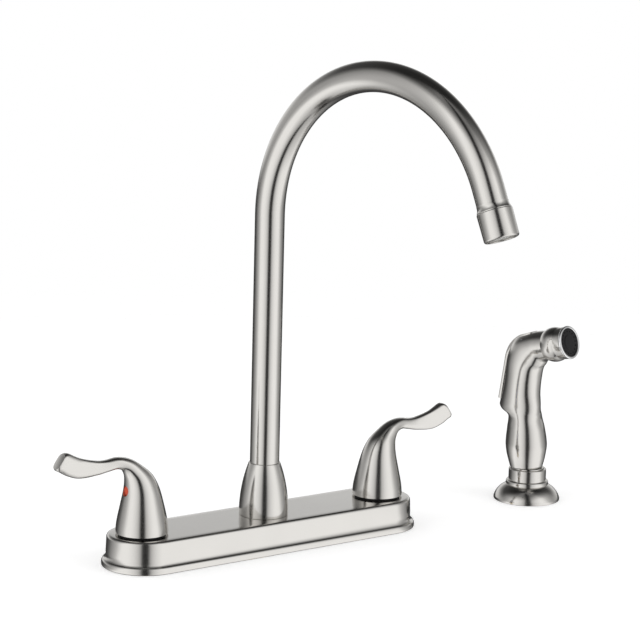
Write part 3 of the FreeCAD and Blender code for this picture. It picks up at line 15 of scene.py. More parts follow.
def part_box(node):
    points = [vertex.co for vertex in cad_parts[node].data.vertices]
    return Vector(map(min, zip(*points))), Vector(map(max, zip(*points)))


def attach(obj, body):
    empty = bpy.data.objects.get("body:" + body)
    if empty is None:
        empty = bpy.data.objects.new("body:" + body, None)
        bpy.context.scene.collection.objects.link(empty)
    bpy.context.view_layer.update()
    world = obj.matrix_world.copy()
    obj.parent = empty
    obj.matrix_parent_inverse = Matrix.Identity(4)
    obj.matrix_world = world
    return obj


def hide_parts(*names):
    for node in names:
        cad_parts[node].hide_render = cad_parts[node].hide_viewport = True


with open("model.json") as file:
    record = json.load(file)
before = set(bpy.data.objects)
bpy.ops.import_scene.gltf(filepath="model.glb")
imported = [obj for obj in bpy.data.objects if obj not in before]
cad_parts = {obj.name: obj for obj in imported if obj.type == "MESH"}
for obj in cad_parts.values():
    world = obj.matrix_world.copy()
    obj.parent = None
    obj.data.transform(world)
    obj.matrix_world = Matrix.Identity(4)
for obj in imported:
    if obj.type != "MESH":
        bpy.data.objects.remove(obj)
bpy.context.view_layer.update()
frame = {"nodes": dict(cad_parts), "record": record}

bl_info = {
    "name": "Kitchen Faucet Looks",
    "version": (1, 0, 0),
    "blender": (4, 5, 0),
    "location": "View3D > Sidebar > Faucet",
    "description": "Builds the visible pieces and finishes of a kitchen faucet",
    "category": "Object",
}

# the frame brings materials that are named like its slots, so these have names of their own
FINISH_TITLE = "faucet_{}"
WHITE = (1, 1, 1, 1)

# steps round a turned piece, a large one, a middling one and a small one, and along the arch
ROUND, ROUND_LARGE, ROUND_MIDDLING, ROUND_SMALL = 96, 128, 64, 48
ARCH_STEPS = 72
# how far a form counts as going on for each radian that it turns, when it is lofted
TURN_WALK = 0.010
# scale of the clouds, depth of the streaks and form of the threads in the finishes
CLOUD_SCALE = 30.0
STREAK_DEPTH = 0.0001
THREAD_PITCH, THREAD_DEPTH, THREAD_STRENGTH, THREAD_TOP = 0.0018, 0.0009, 0.9, -0.011

# where the floor ends and where it fades
FLOOR_RADIUS = 1.2
FLOOR_FADE = (0.45, 1.1)
LAMP_SIZE = 1.0
LAMP_AIM = (0.0, 0.0, 0.15)
TENT_RADIUS = 4.0

# brightness of the light tent, as (place, brightness), round it from the front (0) to the back (1)
TENT_FLAG = [(0.0, 0.02), (0.045, 0.03), (0.09, 0.53), (0.14, 0.72), (0.19, 0.86), (0.24, 0.94),
             (0.28, 1.0)]
TENT_SIDES = [(0.40, 1.0), (0.45, 0.78), (0.50, 0.55), (0.57, 0.38), (0.63, 0.27), (0.695, 0.13),
              (0.78, 0.05)]
TENT_BACK_ROUND = [(0.55, 0.0), (0.80, 1.0)]
# the same from straight down (0) to straight up (1)
TENT_UPPER = [(0.0, 0.5), (0.2, 1.0), (0.8, 1.0), (0.95, 0.2)]
TENT_BACK = [(0.49, 0.0), (0.53, 0.68), (0.62, 0.6), (0.70, 0.2), (0.78, 0.01)]
# how much earlier the side boxes end for each unit of height above this level, and later below
TENT_LEVEL = -0.18
TENT_LEAN_ABOVE = 0.10
TENT_LEAN_BELOW = 0.40


# ---------------- sizes and colours


def length(name, default, description):
    return FloatProperty(
        name=name, description=description, default=default, unit="LENGTH", precision=5)


def angle(name, degrees, description):
    return FloatProperty(
        name=name, description=description, default=math.radians(degrees), subtype="ANGLE")


def number(name, default, description):
    return FloatProperty(name=name, description=description, default=default, precision=3)


def colour(name, default, description):
    return FloatVectorProperty(
        name=name, description=description, default=default, subtype="COLOR", size=3,
        min=0.0, max=1.0)


def count(name, default, description):
    return IntProperty(name=name, description=description, default=default, min=3)


def plane(name, default, description):
    return FloatVectorProperty(
        name=name, description=description + ", along the heading and up", default=default,
        size=2, unit="LENGTH", precision=5)


def position(name, default, description):
    return FloatVectorProperty(
        name=name, description=description, default=default, subtype="TRANSLATION")


class PlateSizes(bpy.types.PropertyGroup):
    """Sizes of the deck plate"""

    end: length("End centre", 0.0992, "Middle of the plate to the centre of its round end")
    half_width: length("Half width", 0.0263, "Half the width of the top outline")
    height: length("Height", 0.0223, "Deck to the top face")
    top_round: length("Top round", 0.0023, "Round along the top edge")
    draft: length("Draft", 0.0005, "How far the wall leans out on its way down")
    bead: length("Bead", 0.0028, "How far the bead's edge stands out")
    bead_height: length("Bead height", 0.0052, "Height of the bead")
    cove_top: length("Cove top", 0.0100, "Level where the cove meets the wall")
    wall: length("Wall", 0.0020, "Thickness of the plate")
    hole: length("Hole", 0.0115, "Radius of the holes for the bosses")
    hub_hole: length("Hub hole", 0.0111, "Radius of the middle hole")


class SpoutSizes(bpy.types.PropertyGroup):
    """Sizes of the spout, its bell and its end"""

    radius: length("Tube radius", 0.0104, "Outer radius of the tube")
    wall: length("Tube wall", 0.0012, "Wall of the tube")
    foot: length("Tube foot", 0.0473, "Level of the tube's lower end")
    arch_level: length("Arch level", 0.2364, "Level of the arch's centre")
    arch_radius: length("Arch radius", 0.1040, "Radius of the arch on the tube's axis")
    arch_angle: angle("Arch angle", 157.1, "How far the arch turns")
    straight: length("Straight end", 0.0147, "Straight run from the arch to the cap")
    engagement: length("Engagement", 0.0075, "How far the tube reaches into the cap")
    turn: angle("Rest turn", 8.6, "How far the spout stands to the right at rest")
    bell_radius: length("Bell radius", 0.0175, "Bell at the plate")
    bell_top_radius: length("Bell top radius", 0.0111, "Bell at the tube")
    bell_height: length("Bell height", 0.0379, "Height of the bell")
    bell_foot: length("Bell foot", 0.0020, "Upright part at the bell's foot")
    bell_bow: number("Bell bow", 0.0446, "Rise of the bell's curve over its chord")
    ring_length: length("Ring length", 0.0050, "Coved ring above the cap")
    ring_radius: length("Ring radius", 0.0114, "Coved ring at its wide end")
    cap_radius: length("Cap radius", 0.0118, "Aerator cap")
    cap_length: length("Cap length", 0.0190, "Aerator cap")
    mouth_radius: length("Mouth radius", 0.0088, "Mouth of the cap")


class HandleSizes(bpy.types.PropertyGroup):
    """Sizes of the two lever handles"""

    spacing: length("Spacing", 0.2032, "Hot to cold, centre to centre")
    skirt_level: length("Skirt level", 0.0242, "Level of the lower edge")
    skirt_radius: length("Skirt radius", 0.0183, "Lower edge")
    wall: length("Skirt wall", 0.0022, "Wall of the skirt")
    neck_radius: length("Neck radius", 0.0124, "Body at its neck")
    neck_rise: length("Neck rise", 0.0300, "Neck above the lower edge")
    arch_reach: length("Arch reach", 0.0200, "Axis to the arch of the lever")
    arch_rise: length("Arch rise", 0.0499, "Arch above the lower edge")
    lever_reach: length("Lever reach", 0.0616, "Axis to the middle of the end face")
    lever_rise: length("Lever rise", 0.0554, "End face above the lower edge")
    end_depth: length("End depth", 0.0142, "End face, corner to corner")
    thickness: length("Thickness", 0.0062, "Thickness of the paddle")
    hot_turn: angle("Hot rest turn", 4.3, "How far the hot lever stands back at rest")
    index_level: length("Index level", 0.0535, "Level of the index button")
    index_radius: length("Index radius", 0.0035, "Index button")
    index_face: length("Index face", 0.0124, "Axis to the button's face")


class SpraySizes(bpy.types.PropertyGroup):
    """Sizes of the side spray and its holder"""

    x: length("Place", 0.2478, "Spout axis to spray axis")
    turn: angle("Heading", -75.8, "Heading of the nozzle from +X")
    flange_radius: length("Flange radius", 0.0253, "Domed flange")
    flange_height: length("Flange height", 0.0118, "Height of the dome")
    flange_edge: length("Flange edge", 0.0018, "Upright edge at the dome's foot")
    flange_bow: number("Flange bow", 0.1125, "Rise of the dome's curve over its chord")
    bead_radius: length("Bead radius", 0.0163, "Bead on the dome")
    bead_height: length("Bead height", 0.0036, "Height of the bead")
    collar_radius: length("Collar radius", 0.0144, "Collar above the bead")
    collar_height: length("Collar height", 0.0089, "Height of the collar")
    rim_radius: length("Coupling radius", 0.0124, "Rim of the hose coupling")
    set_back: length("Set back", 0.00165, "How far the sprayer's body stands behind its axis")
    foot_level: length("Foot level", 0.0256, "Lower end of the sprayer")
    foot_radius: length("Foot radius", 0.0125, "Sprayer at its lower end")
    belly_level: length("Belly level", 0.0440, "Level of the belly")
    belly_radius: length("Belly radius", 0.0159, "Belly of the sprayer")
    waist_level: length("Waist level", 0.0643, "Level of the waist")
    waist_radius: length("Waist radius", 0.0130, "Waist of the sprayer")
    nozzle_reach: length("Nozzle reach", 0.03385, "Axis to the middle of the rim")
    nozzle_level: length("Nozzle level", 0.1276, "Level of the middle of the rim")
    nozzle_rise: angle("Nozzle rise", 15.0, "How far the nozzle points up")
    head_length: length("Head length", 0.0260, "Bend to the front of the rim")
    head_neck: length("Head neck", 0.0112, "Head where it leaves the bend")
    ball_bow: number("Ball bow", 0.13, "Rise of the head's ball over its chord")
    head_groove: length("Head groove", 0.0120, "Groove in front of the ball")
    head_front: length("Head front", 0.0123, "Head behind the rim")
    rim_front: length("Rim radius", 0.0126, "Polished rim")
    rim_length: length("Rim length", 0.0022, "Polished rim")
    rim_bore: length("Rim bore", 0.0108, "Inside of the rim")
    face_back: length("Face recess", 0.0010, "How far the face lies behind the rim")
    face_disc: length("Face disc", 0.0060, "Raised centre of the face")
    hole_ring: length("Hole ring", 0.0084, "Axis to the ring of spray holes")
    holes: count("Holes", 16, "Spray holes in the ring")
    trigger_half: length("Trigger half width", 0.0050, "Half the width of the trigger")
    trigger_thick: length("Trigger thickness", 0.0022, "Thickness of the trigger")
    lip: plane("Trigger lip", (-0.02645, 0.0759), "Outer face at the lip")
    back: plane("Trigger back", (-0.02215, 0.1070), "Outer face below the bend")
    crown: plane("Trigger crown", (-0.00875, 0.1280), "Outer face past the bend")
    tail: plane("Trigger tail", (0.00025, 0.1312), "Upper end of the trigger")
    pin: plane("Trigger pin", (-0.0041, 0.1240), "Axis of the trigger's pin")
    lug: length("Trigger lug", 0.0036, "Lug round the pin")


class FinishColours(bpy.types.PropertyGroup):
    """Colours of the finishes"""

    nickel: colour("Nickel", (0.60, 0.585, 0.56), "Brushed nickel")
    nickel_roughness: number("Nickel roughness", 0.17, "Roughness of the brushed nickel")
    chrome: colour("Chrome", (0.80, 0.80, 0.80), "Polished rim")
    brass: colour("Brass", (0.72, 0.55, 0.28), "Bodies, hub, nuts and foot")
    copper: colour("Copper", (0.72, 0.38, 0.25), "Waterways")
    steel: colour("Steel", (0.52, 0.52, 0.53), "Screws, pin and clip")
    ceramic: colour("Ceramic", (0.86, 0.85, 0.82), "Discs")
    black: colour("Black plastic", (0.018, 0.018, 0.019), "Face, rings, washers and nuts")
    white: colour("White plastic", (0.78, 0.78, 0.76), "Cartridges and inserts")
    rubber: colour("Rubber", (0.015, 0.015, 0.016), "Seals")
    red: colour("Red", (0.76, 0.085, 0.03), "Hot index")
    blue: colour("Blue", (0.02, 0.11, 0.50), "Cold index")


class StudioSizes(bpy.types.PropertyGroup):
    """Camera, light and floor"""

    lens: number("Lens", 135.66, "Focal length on a 36 mm sensor")
    camera: position("Camera", (-0.9554, -1.3581, 0.47295), "Where the camera stands")
    target: position("Target", (0.02953, -0.02176, 0.16318), "What the camera looks at")
    roll: angle("Roll", 1.48, "How far the camera leans")
    world: number("World", 0.75, "Strength of the light from all round")
    key: number("Key", 4.0, "Power of the lamp on the right")
    key_place: position("Key place", (0.9, -1.3, 1.3), "Where the lamp on the right stands")
    fill: number("Fill", 3.0, "Power of the lamp on the left")
    fill_place: position("Fill place", (-1.4, 0.2, 1.2), "Where the lamp on the left stands")
    tent: number("Tent", 1.3, "Brightness of the soft boxes that show in the metal")
    tent_heading: angle("Tent heading", -121.0, "Where the tent's front flag stands, from +X")
    floor: colour("Floor", (0.93, 0.93, 0.93), "Floor")
    floor_glow: number("Floor glow", 0.30, "How much brighter the floor is seen than it is lit")


def sizes():
    """All property groups of the scene, by short names."""
    return bpy.context.scene.faucet


class FaucetSettings(bpy.types.PropertyGroup):
    """Everything that can be set on the faucet"""

    plate: PointerProperty(type=PlateSizes)
    spout: PointerProperty(type=SpoutSizes)
    handle: PointerProperty(type=HandleSizes)
    spray: PointerProperty(type=SpraySizes)
    finish: PointerProperty(type=FinishColours)
    studio: PointerProperty(type=StudioSizes)


# ---------------- mesh helpers


def wire(mesh, points, closed=False):
    """A chain of edges in the XZ plane; a third value rounds that corner by that much."""
    verts = [mesh.verts.new((p[0], 0.0, p[1])) for p in points]
    for first, second in zip(verts, verts[1:]):
        mesh.edges.new((first, second))
    if closed:
        mesh.edges.new((verts[-1], verts[0]))
    for vert, point in zip(verts, points):
        if len(point) == 3:
            bmesh.ops.bevel(
                mesh, geom=[vert], offset=point[2], offset_type="OFFSET", segments=6,
                profile=0.5, affect="VERTICES", material=-1)
    return mesh


def bowed(start, end, bow, steps):
    """Points on a shallow curve from start up to, not with, end."""
    points = []
    for step in range(steps):
        along = step / steps
        rise = 4 * bow * along * (1 - along)
        x = start[0] * (1 - along) + end[0] * along - (end[1] - start[1]) * rise
        z = start[1] * (1 - along) + end[1] * along + (end[0] - start[0]) * rise
        points.append((x, z))
    return points


def verts_in(items):
    return [item for item in items if isinstance(item, bmesh.types.BMVert)]


def edges_in(items):
    return [item for item in items if isinstance(item, bmesh.types.BMEdge)]


def circle(mesh, segments, radius, centre=(0, 0, 0), cap_ends=False):
    """Add a circle and give its edges."""
    ring = bmesh.ops.create_circle(
        mesh, cap_ends=cap_ends, segments=segments, radius=radius,
        matrix=Matrix.Translation(centre))
    return list(dict.fromkeys(edge for vert in ring["verts"] for edge in vert.link_edges))


def pulled(mesh, edges, way):
    """Extrude edges along a way and give the new verts and edges."""
    made = bmesh.ops.extrude_edge_only(mesh, edges=edges)["geom"]
    bmesh.ops.translate(mesh, verts=verts_in(made), vec=way)
    return verts_in(made) + edges_in(made)


def tidy(mesh):
    """Merge doubles and turn every face outwards."""
    bmesh.ops.remove_doubles(mesh, verts=mesh.verts, dist=1e-6)
    bmesh.ops.recalc_face_normals(mesh, faces=mesh.faces)
    return mesh


def turned(points, steps=ROUND, closed=True):
    """A profile of radii and levels turned once round Z."""
    mesh = wire(bmesh.new(), points, closed)
    bmesh.ops.spin(
        mesh, geom=mesh.verts[:] + mesh.edges[:], cent=(0, 0, 0), axis=(0, 0, 1),
        angle=math.tau, steps=steps, use_merge=True)
    return tidy(mesh)


def place(mesh, matrix):
    bmesh.ops.transform(mesh, matrix=matrix, verts=mesh.verts)
    return mesh


def soften(mesh, width, least=40.0):
    """Round every edge that turns by more than the least angle, in degrees."""
    edges = [
        edge for edge in mesh.edges
        if len(edge.link_faces) == 2 and edge.calc_face_angle() > math.radians(least)
    ]
    bmesh.ops.bevel(
        mesh, geom=edges, offset=width, offset_type="OFFSET", segments=2, profile=0.5,
        affect="EDGES", material=-1, clamp_overlap=True)
    return mesh


def to_object(mesh, name):
    data = bpy.data.meshes.new(name)
    mesh.to_mesh(data)
    mesh.free()
    piece = bpy.data.objects.new(name, data)
    bpy.context.scene.collection.objects.link(piece)
    return piece


def cut(piece, tool_mesh, operation="DIFFERENCE"):
    """Cut a tool out of a piece, or join it on."""
    tool = to_object(tool_mesh, "tool")
    boolean = piece.modifiers.new("cut", "BOOLEAN")
    boolean.operation = operation
    boolean.solver = "EXACT"
    boolean.object = tool
    bpy.context.view_layer.update()
    graph = bpy.context.evaluated_depsgraph_get()
    result = bpy.data.meshes.new_from_object(piece.evaluated_get(graph))
    piece.modifiers.clear()
    piece.data = result
    bpy.data.objects.remove(tool)
    return piece


def dress(piece, body, node, slot="brushed_nickel", sharp=30.0):
    """Shade a piece, give it its finish and let it ride on its body in a node's place."""
    piece.data.shade_smooth()
    piece.data.set_sharp_from_angle(angle=math.radians(sharp))
    piece.data.materials.clear()
    piece.data.materials.append(finish_for(slot))
    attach(piece, body)
    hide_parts(node)


# ---------------- finishes


def feed(node, values):
    """Set or link the inputs of a node, by their names or places."""
    for key, value in values.items():
        if isinstance(value, bpy.types.NodeSocket):
            node.id_data.links.new(value, node.inputs[key])
        else:
            node.inputs[key].default_value = value


def add(tree, kind, values, **settings):
    """A new shader node with its settings, fed with values."""
    node = tree.nodes.new(f"ShaderNode{kind}")
    for name, value in settings.items():
        setattr(node, name, value)
    feed(node, values)
    return node


def calculate(tree, operation, *values):
    """The result of a math node; each value is a socket or a number."""
    return add(tree, "Math", dict(enumerate(values)), operation=operation).outputs[0]


def new_group(name, inputs, outputs):
    """An empty shader group, what comes in, and the node that it goes out by."""
    group = bpy.data.node_groups.new(name, "ShaderNodeTree")
    for title, kind, default in inputs:
        socket = group.interface.new_socket(
            title, in_out="INPUT", socket_type=f"NodeSocket{kind}")
        socket.default_value = default
    for title in outputs:
        group.interface.new_socket(title, in_out="OUTPUT", socket_type="NodeSocketFloat")
    return group, group.nodes.new("NodeGroupInput").outputs, group.nodes.new("NodeGroupOutput")


def grain_group():
    """Fine streaks along one direction, and broad cloudy changes, both from 0 to 1."""
    if "grain" in bpy.data.node_groups:
        return bpy.data.node_groups["grain"]
    group, given, end = new_group(
        "grain", [("Vector", "Vector", (0, 0, 0)), ("Stretch", "Vector", (1, 1, 1))],
        ["Streaks", "Clouds"])
    stretched = add(
        group, "VectorMath", {0: given["Vector"], 1: given["Stretch"]}, operation="MULTIPLY")
    streaks = add(
        group, "TexNoise", {"Vector": stretched.outputs["Vector"], "Scale": 1.0, "Detail": 3.0})
    clouds = add(
        group, "TexNoise", {"Vector": given["Vector"], "Scale": CLOUD_SCALE, "Detail": 2.0})
    feed(end, {"Streaks": streaks.outputs["Fac"], "Clouds": clouds.outputs["Fac"]})
    return group


def thread_group():
    """Rings along Z below a level, for threaded shanks: 0 on plain stretches."""
    if "threads" in bpy.data.node_groups:
        return bpy.data.node_groups["threads"]
    group, given, end = new_group(
        "threads", [("Vector", "Vector", (0, 0, 0)), ("Pitch", "Float", THREAD_PITCH),
                    ("Top", "Float", THREAD_TOP)], ["Height"])
    level = add(group, "SeparateXYZ", {0: given["Vector"]}).outputs["Z"]
    turns = calculate(group, "DIVIDE", level, given["Pitch"])
    crest = calculate(group, "PINGPONG", turns, 0.5)
    below = calculate(group, "LESS_THAN", level, given["Top"])
    feed(end, {"Height": calculate(group, "MULTIPLY", crest, below)})
    return group


def new_finish(title, base, metallic, stretch, low, high, bump, shade=0.04, specular=0.5):
    """A finish with grain: base colour, roughness from low to high and a fine bump."""
    material = bpy.data.materials.new(title)
    material.use_nodes = True
    material.diffuse_color = (*base, 1)
    tree = material.node_tree
    where = add(tree, "TexCoord", {}).outputs["Object"]
    grain = add(
        tree, "Group", {"Vector": where, "Stretch": stretch}, node_tree=grain_group()).outputs
    rough = add(
        tree, "MapRange", {"Value": grain["Streaks"], "To Min": low, "To Max": high})
    tint = add(tree, "Mix", {
        "Factor": grain["Clouds"],
        "A": (*[part * (1 - shade) for part in base], 1),
        "B": (*[min(part * (1 + shade), 1) for part in base], 1),
    }, data_type="RGBA")
    relief = add(
        tree, "Bump", {"Height": grain["Streaks"], "Strength": bump, "Distance": STREAK_DEPTH})
    feed(tree.nodes["Principled BSDF"], {
        "Base Color": tint.outputs["Result"], "Metallic": metallic,
        "Roughness": rough.outputs["Result"], "Specular IOR Level": specular,
        "Normal": relief.outputs["Normal"]})
    return material


def add_threads(material):
    """Add thread crests to a finish, below the level where the threads end."""
    tree = material.node_tree
    nodes = {node.bl_idname: node for node in tree.nodes}
    threads = add(
        tree, "Group", {"Vector": nodes["ShaderNodeTexCoord"].outputs["Object"]},
        node_tree=thread_group())
    crests = add(tree, "Bump", {
        "Height": threads.outputs["Height"], "Strength": THREAD_STRENGTH,
        "Distance": THREAD_DEPTH, "Normal": nodes["ShaderNodeBump"].outputs["Normal"]})
    feed(nodes["ShaderNodeBsdfPrincipled"], {"Normal": crests.outputs["Normal"]})


def finish_table():
    """By slot: colour, metallic, stretch, low, high and bump, some with shade and specular."""
    finish = sizes().finish
    rough = finish.nickel_roughness
    return {
        "brushed_nickel": (finish.nickel, 1.0, (350, 350, 2600), rough - 0.03, rough + 0.03, 0.05),
        "chrome": (finish.chrome, 1.0, (90, 90, 90), 0.04, 0.09, 0.01),
        "brass": (finish.brass, 1.0, (500, 500, 1500), 0.28, 0.42, 0.15),
        "copper": (finish.copper, 1.0, (1500, 300, 300), 0.22, 0.38, 0.1),
        "spring_steel": (finish.steel, 1.0, (600, 600, 600), 0.2, 0.32, 0.1),
        "ceramic": (finish.ceramic, 0.0, (200, 200, 200), 0.12, 0.2, 0.02),
        "black_plastic": (finish.black, 0.0, (900, 900, 900), 0.38, 0.52, 0.2, 0.15, 0.15),
        "white_plastic": (finish.white, 0.0, (700, 700, 700), 0.4, 0.5, 0.1),
        "black_rubber": (finish.rubber, 0.0, (1200, 1200, 1200), 0.6, 0.75, 0.3, 0.2),
        "red_plastic": (finish.red, 0.0, (500, 500, 500), 0.25, 0.32, 0.02),
        "blue_plastic": (finish.blue, 0.0, (500, 500, 500), 0.25, 0.32, 0.02),
    }


def finish_for(slot):
    """The material of a slot, built the first time it is asked for."""
    title = FINISH_TITLE.format(slot)
    if title not in bpy.data.materials:
        material = new_finish(title, *finish_table()[slot])
        if slot == "brass":
            add_threads(material)
    return bpy.data.materials[title]


# ---------------- deck plate


def plate_profile(plate):
    """Half section of the plate's outside, from its foot up to the flat top."""
    edge = plate.half_width + plate.bead
    return [
        (edge - 0.0004, 0.0),
        (edge + 0.0006, 0.0005, 0.0004),
        (edge + 0.0009, 0.0026, 0.0012),
        (edge + 0.0002, plate.bead_height - 0.0006, 0.0006),
        (edge - 0.0006, plate.bead_height, 0.0003),
        *bowed((edge - 0.0010, plate.bead_height + 0.0003),
               (plate.half_width + plate.draft, plate.cove_top), 0.12, 6),
        (plate.half_width + plate.draft, plate.cove_top),
        (plate.half_width, plate.height, plate.top_round),
        (plate.half_width - 0.006, plate.height),
    ]


def swept_stadium(profile, end):
    """A half section carried along both sides and round both ends of a stadium."""
    mesh = wire(bmesh.new(), [(p[0] + end, *p[1:]) for p in profile])
    chain = mesh.verts[:] + mesh.edges[:]
    bmesh.ops.rotate(
        mesh, verts=mesh.verts, cent=(end, 0, 0), matrix=Matrix.Rotation(-math.pi / 2, 3, "Z"))
    for side in (1, -1):
        last = bmesh.ops.spin(
            mesh, geom=chain, cent=(end * side, 0, 0), axis=(0, 0, 1), angle=math.pi,
            steps=ROUND_SMALL)["geom_last"]
        chain = pulled(mesh, edges_in(last), (-2 * end * side, 0, 0))
    return tidy(mesh)


def make_plate():
    """Plate with its bead, cove and rounded edge; the holes go through a separate top."""
    plate = sizes().plate
    mesh = swept_stadium(plate_profile(plate), plate.end)
    rim = [
        edge for edge in mesh.edges
        if edge.is_boundary and edge.verts[0].co.z > plate.height * 0.9
    ]
    valve = sizes().handle.spacing / 2
    for x, radius in ((-valve, plate.hole), (valve, plate.hole), (0.0, plate.hub_hole)):
        rim += circle(mesh, ROUND_MIDDLING, radius, (x, 0, plate.height))
    bmesh.ops.triangle_fill(mesh, use_beauty=True, edges=rim)
    tidy(mesh)
    bmesh.ops.solidify(mesh, geom=mesh.faces[:], thickness=plate.wall)
    tidy(mesh)
    piece = to_object(mesh, "plate_cover")
    dress(piece, "deck_unit", "deck_plate", sharp=38)


# ---------------- spout


def make_bell():
    spout = sizes().spout
    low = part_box("spout_bell")[0].z
    top = low + spout.bell_height
    skirt = (spout.bell_radius, low + spout.bell_foot)
    bore = spout.radius + 0.0001
    mesh = turned([
        (spout.bell_radius - 0.0016, low),
        (spout.bell_radius, low, 0.0003),
        *bowed(skirt, (spout.bell_top_radius, top), -spout.bell_bow, 24),
        (spout.bell_top_radius, top, 0.0003),
        (bore, top),
        (bore, top - 0.005),
        (spout.bell_top_radius - 0.0005, top - 0.006),
        (spout.bell_radius - 0.0016, low + spout.bell_foot),
    ])
    dress(to_object(mesh, "bell_cover"), "deck_unit", "spout_bell")


def spout_matrix(spout):
    return Matrix.Rotation(spout.turn, 4, "Z")


def end_matrix(spout):
    """Where the cap starts: its Z runs out of the spout."""
    bend, arch, run = spout.arch_radius, spout.arch_angle, spout.straight
    y = -(bend - bend * math.cos(arch) + run * math.sin(arch))
    z = spout.arch_level + bend * math.sin(arch) + run * math.cos(arch)
    along = Matrix.Translation((0, y, z)) @ Matrix.Rotation(arch, 4, "X")
    return spout_matrix(spout) @ along


def make_tube():
    spout = sizes().spout
    mesh = bmesh.new()
    foot = circle(mesh, ROUND_MIDDLING, spout.radius, (0, 0, spout.foot))
    riser = pulled(mesh, foot, (0, 0, spout.arch_level - spout.foot))
    arch = bmesh.ops.spin(
        mesh, geom=riser, cent=(0, -spout.arch_radius, spout.arch_level), axis=(1, 0, 0),
        angle=spout.arch_angle, steps=ARCH_STEPS)["geom_last"]
    way = Vector((0, -math.sin(spout.arch_angle), math.cos(spout.arch_angle)))
    pulled(mesh, edges_in(arch), way * (spout.straight + spout.engagement))
    tidy(mesh)
    bmesh.ops.solidify(mesh, geom=mesh.faces[:], thickness=spout.wall)
    place(tidy(mesh), spout_matrix(spout))
    dress(to_object(mesh, "bent_tube"), "spout", "spout_tube")


def make_spout_end():
    spout = sizes().spout
    fit = spout.radius + 0.00002
    ring = turned([
        (fit, -spout.ring_length),
        *bowed((fit + 0.00015, -spout.ring_length), (spout.ring_radius, -0.0006), 0.08, 8),
        (spout.ring_radius, -0.0006, 0.0002),
        (spout.ring_radius, 0.0, 0.0002),
        (fit, 0.0),
    ])
    place(ring, end_matrix(spout))
    dress(to_object(ring, "coved_ring"), "spout", "spout_tip_ring")
    end = spout.cap_length
    cap = turned([
        (fit + 0.00003, 0.00002),
        (spout.cap_radius, 0.00002, 0.0005),
        (spout.cap_radius - 0.00025, end - 0.0002, 0.0012),
        (spout.cap_radius - 0.0016, end, 0.0003),
        (spout.mouth_radius, end, 0.0004),
        (spout.mouth_radius, end - 0.0015),
        (fit + 0.00003, end - 0.0015),
    ])
    place(cap, end_matrix(spout))
    dress(to_object(cap, "aerator_cap"), "spout", "aerator_housing")


# ---------------- lofted forms


def spline(rows, along, column):
    """Value of one column of the rows at a distance along them, on a smooth curve."""
    last = len(rows) - 2
    index = next((i for i in range(last) if along < rows[i + 1][0]), last)
    before, here, there, after = (
        rows[max(index - 1, 0)], rows[index], rows[index + 1], rows[min(index + 2, last + 1)])
    span = there[0] - here[0]
    part = (along - here[0]) / span
    slope_in = (there[column] - before[column]) / max(there[0] - before[0], 1e-9) * span
    slope_out = (after[column] - here[column]) / max(after[0] - here[0], 1e-9) * span
    a, b = here[column], there[column]
    return (
        a * (1 + 2 * part) * (1 - part) ** 2 + slope_in * part * (1 - part) ** 2
        + b * part ** 2 * (3 - 2 * part) + slope_out * part ** 2 * (part - 1))


def lofted(stations, rings, segments):
    """A closed form through stations of x, z, lean, half depth, half width and squareness."""
    rows = [(0.0, *stations[0])]
    for before, here in zip(stations, stations[1:]):
        turn = math.radians(abs(here[2] - before[2]))
        walked = math.dist(before[:2], here[:2]) + TURN_WALK * turn
        rows.append((rows[-1][0] + walked, *here))
    mesh = bmesh.new()
    edges = circle(mesh, segments, 1.0, cap_ends=True)
    for _ in range(rings):
        edges = edges_in(pulled(mesh, edges, (0, 0, 1)))
    bmesh.ops.holes_fill(mesh, edges=edges, sides=0)
    for vert in mesh.verts:
        walked = rows[-1][0] * vert.co.z / rings
        x, z, lean, depth, width, square = (spline(rows, walked, c) for c in range(1, 7))
        across = math.copysign(abs(vert.co.x) ** (2 / square), vert.co.x) * depth
        beside = math.copysign(abs(vert.co.y) ** (2 / square), vert.co.y) * width
        slope = math.radians(lean)
        vert.co = (x + across * math.cos(slope), beside, z - across * math.sin(slope))
    return tidy(mesh)


# ---------------- handles


def handle_stations(handle):
    base, neck = handle.skirt_level, handle.skirt_level + handle.neck_rise
    arch_x, arch_z = handle.arch_reach, handle.skirt_level + handle.arch_rise
    end_x, end_z = handle.lever_reach, handle.skirt_level + handle.lever_rise
    blade, skirt, throat = handle.thickness / 2, handle.skirt_radius, handle.neck_radius
    return [
        (0, base - 0.0005, 0, skirt, skirt, 2),
        (0, base + 0.007, 0, skirt - 0.0007, skirt - 0.0007, 2),
        (0.0001, neck - 0.012, 0, throat + 0.0029, throat + 0.0029, 2),
        (0.0008, neck, 3, throat, throat, 2),
        (0.0029, neck + 0.0076, 10, throat - 0.0024, throat - 0.0022, 2.05),
        (arch_x - 0.0131, arch_z - 0.0068, 27, 0.0070, 0.0080, 2.2),
        (arch_x - 0.0074, arch_z - 0.0019, 55, 0.0048, 0.0061, 2.4),
        (arch_x, arch_z, 88, 0.0040, 0.0046, 2.7),
        (arch_x + 0.0075, arch_z - 0.0011, 97, 0.0041, blade + 0.0007, 2.9),
        (end_x - 0.0270, arch_z - 0.0017, 92, 0.0049, blade + 0.0003, 3.1),
        (end_x - 0.0142, end_z - 0.0063, 78, 0.0068, blade + 0.0003, 3.3),
        (end_x - 0.0065, end_z - 0.0035, 66, 0.0072, blade + 0.0009, 3.4),
        (end_x - 0.0022, end_z - 0.0011, 58, handle.end_depth / 2, blade + 0.0013, 3.2),
        (end_x + 0.0004, end_z - 0.0001, 56, handle.end_depth / 2 - 0.0003, blade + 0.0015, 3.2),
        (end_x + 0.0014, end_z + 0.0002, 56, handle.end_depth / 2 - 0.0013, blade + 0.0014, 3.0),
    ]


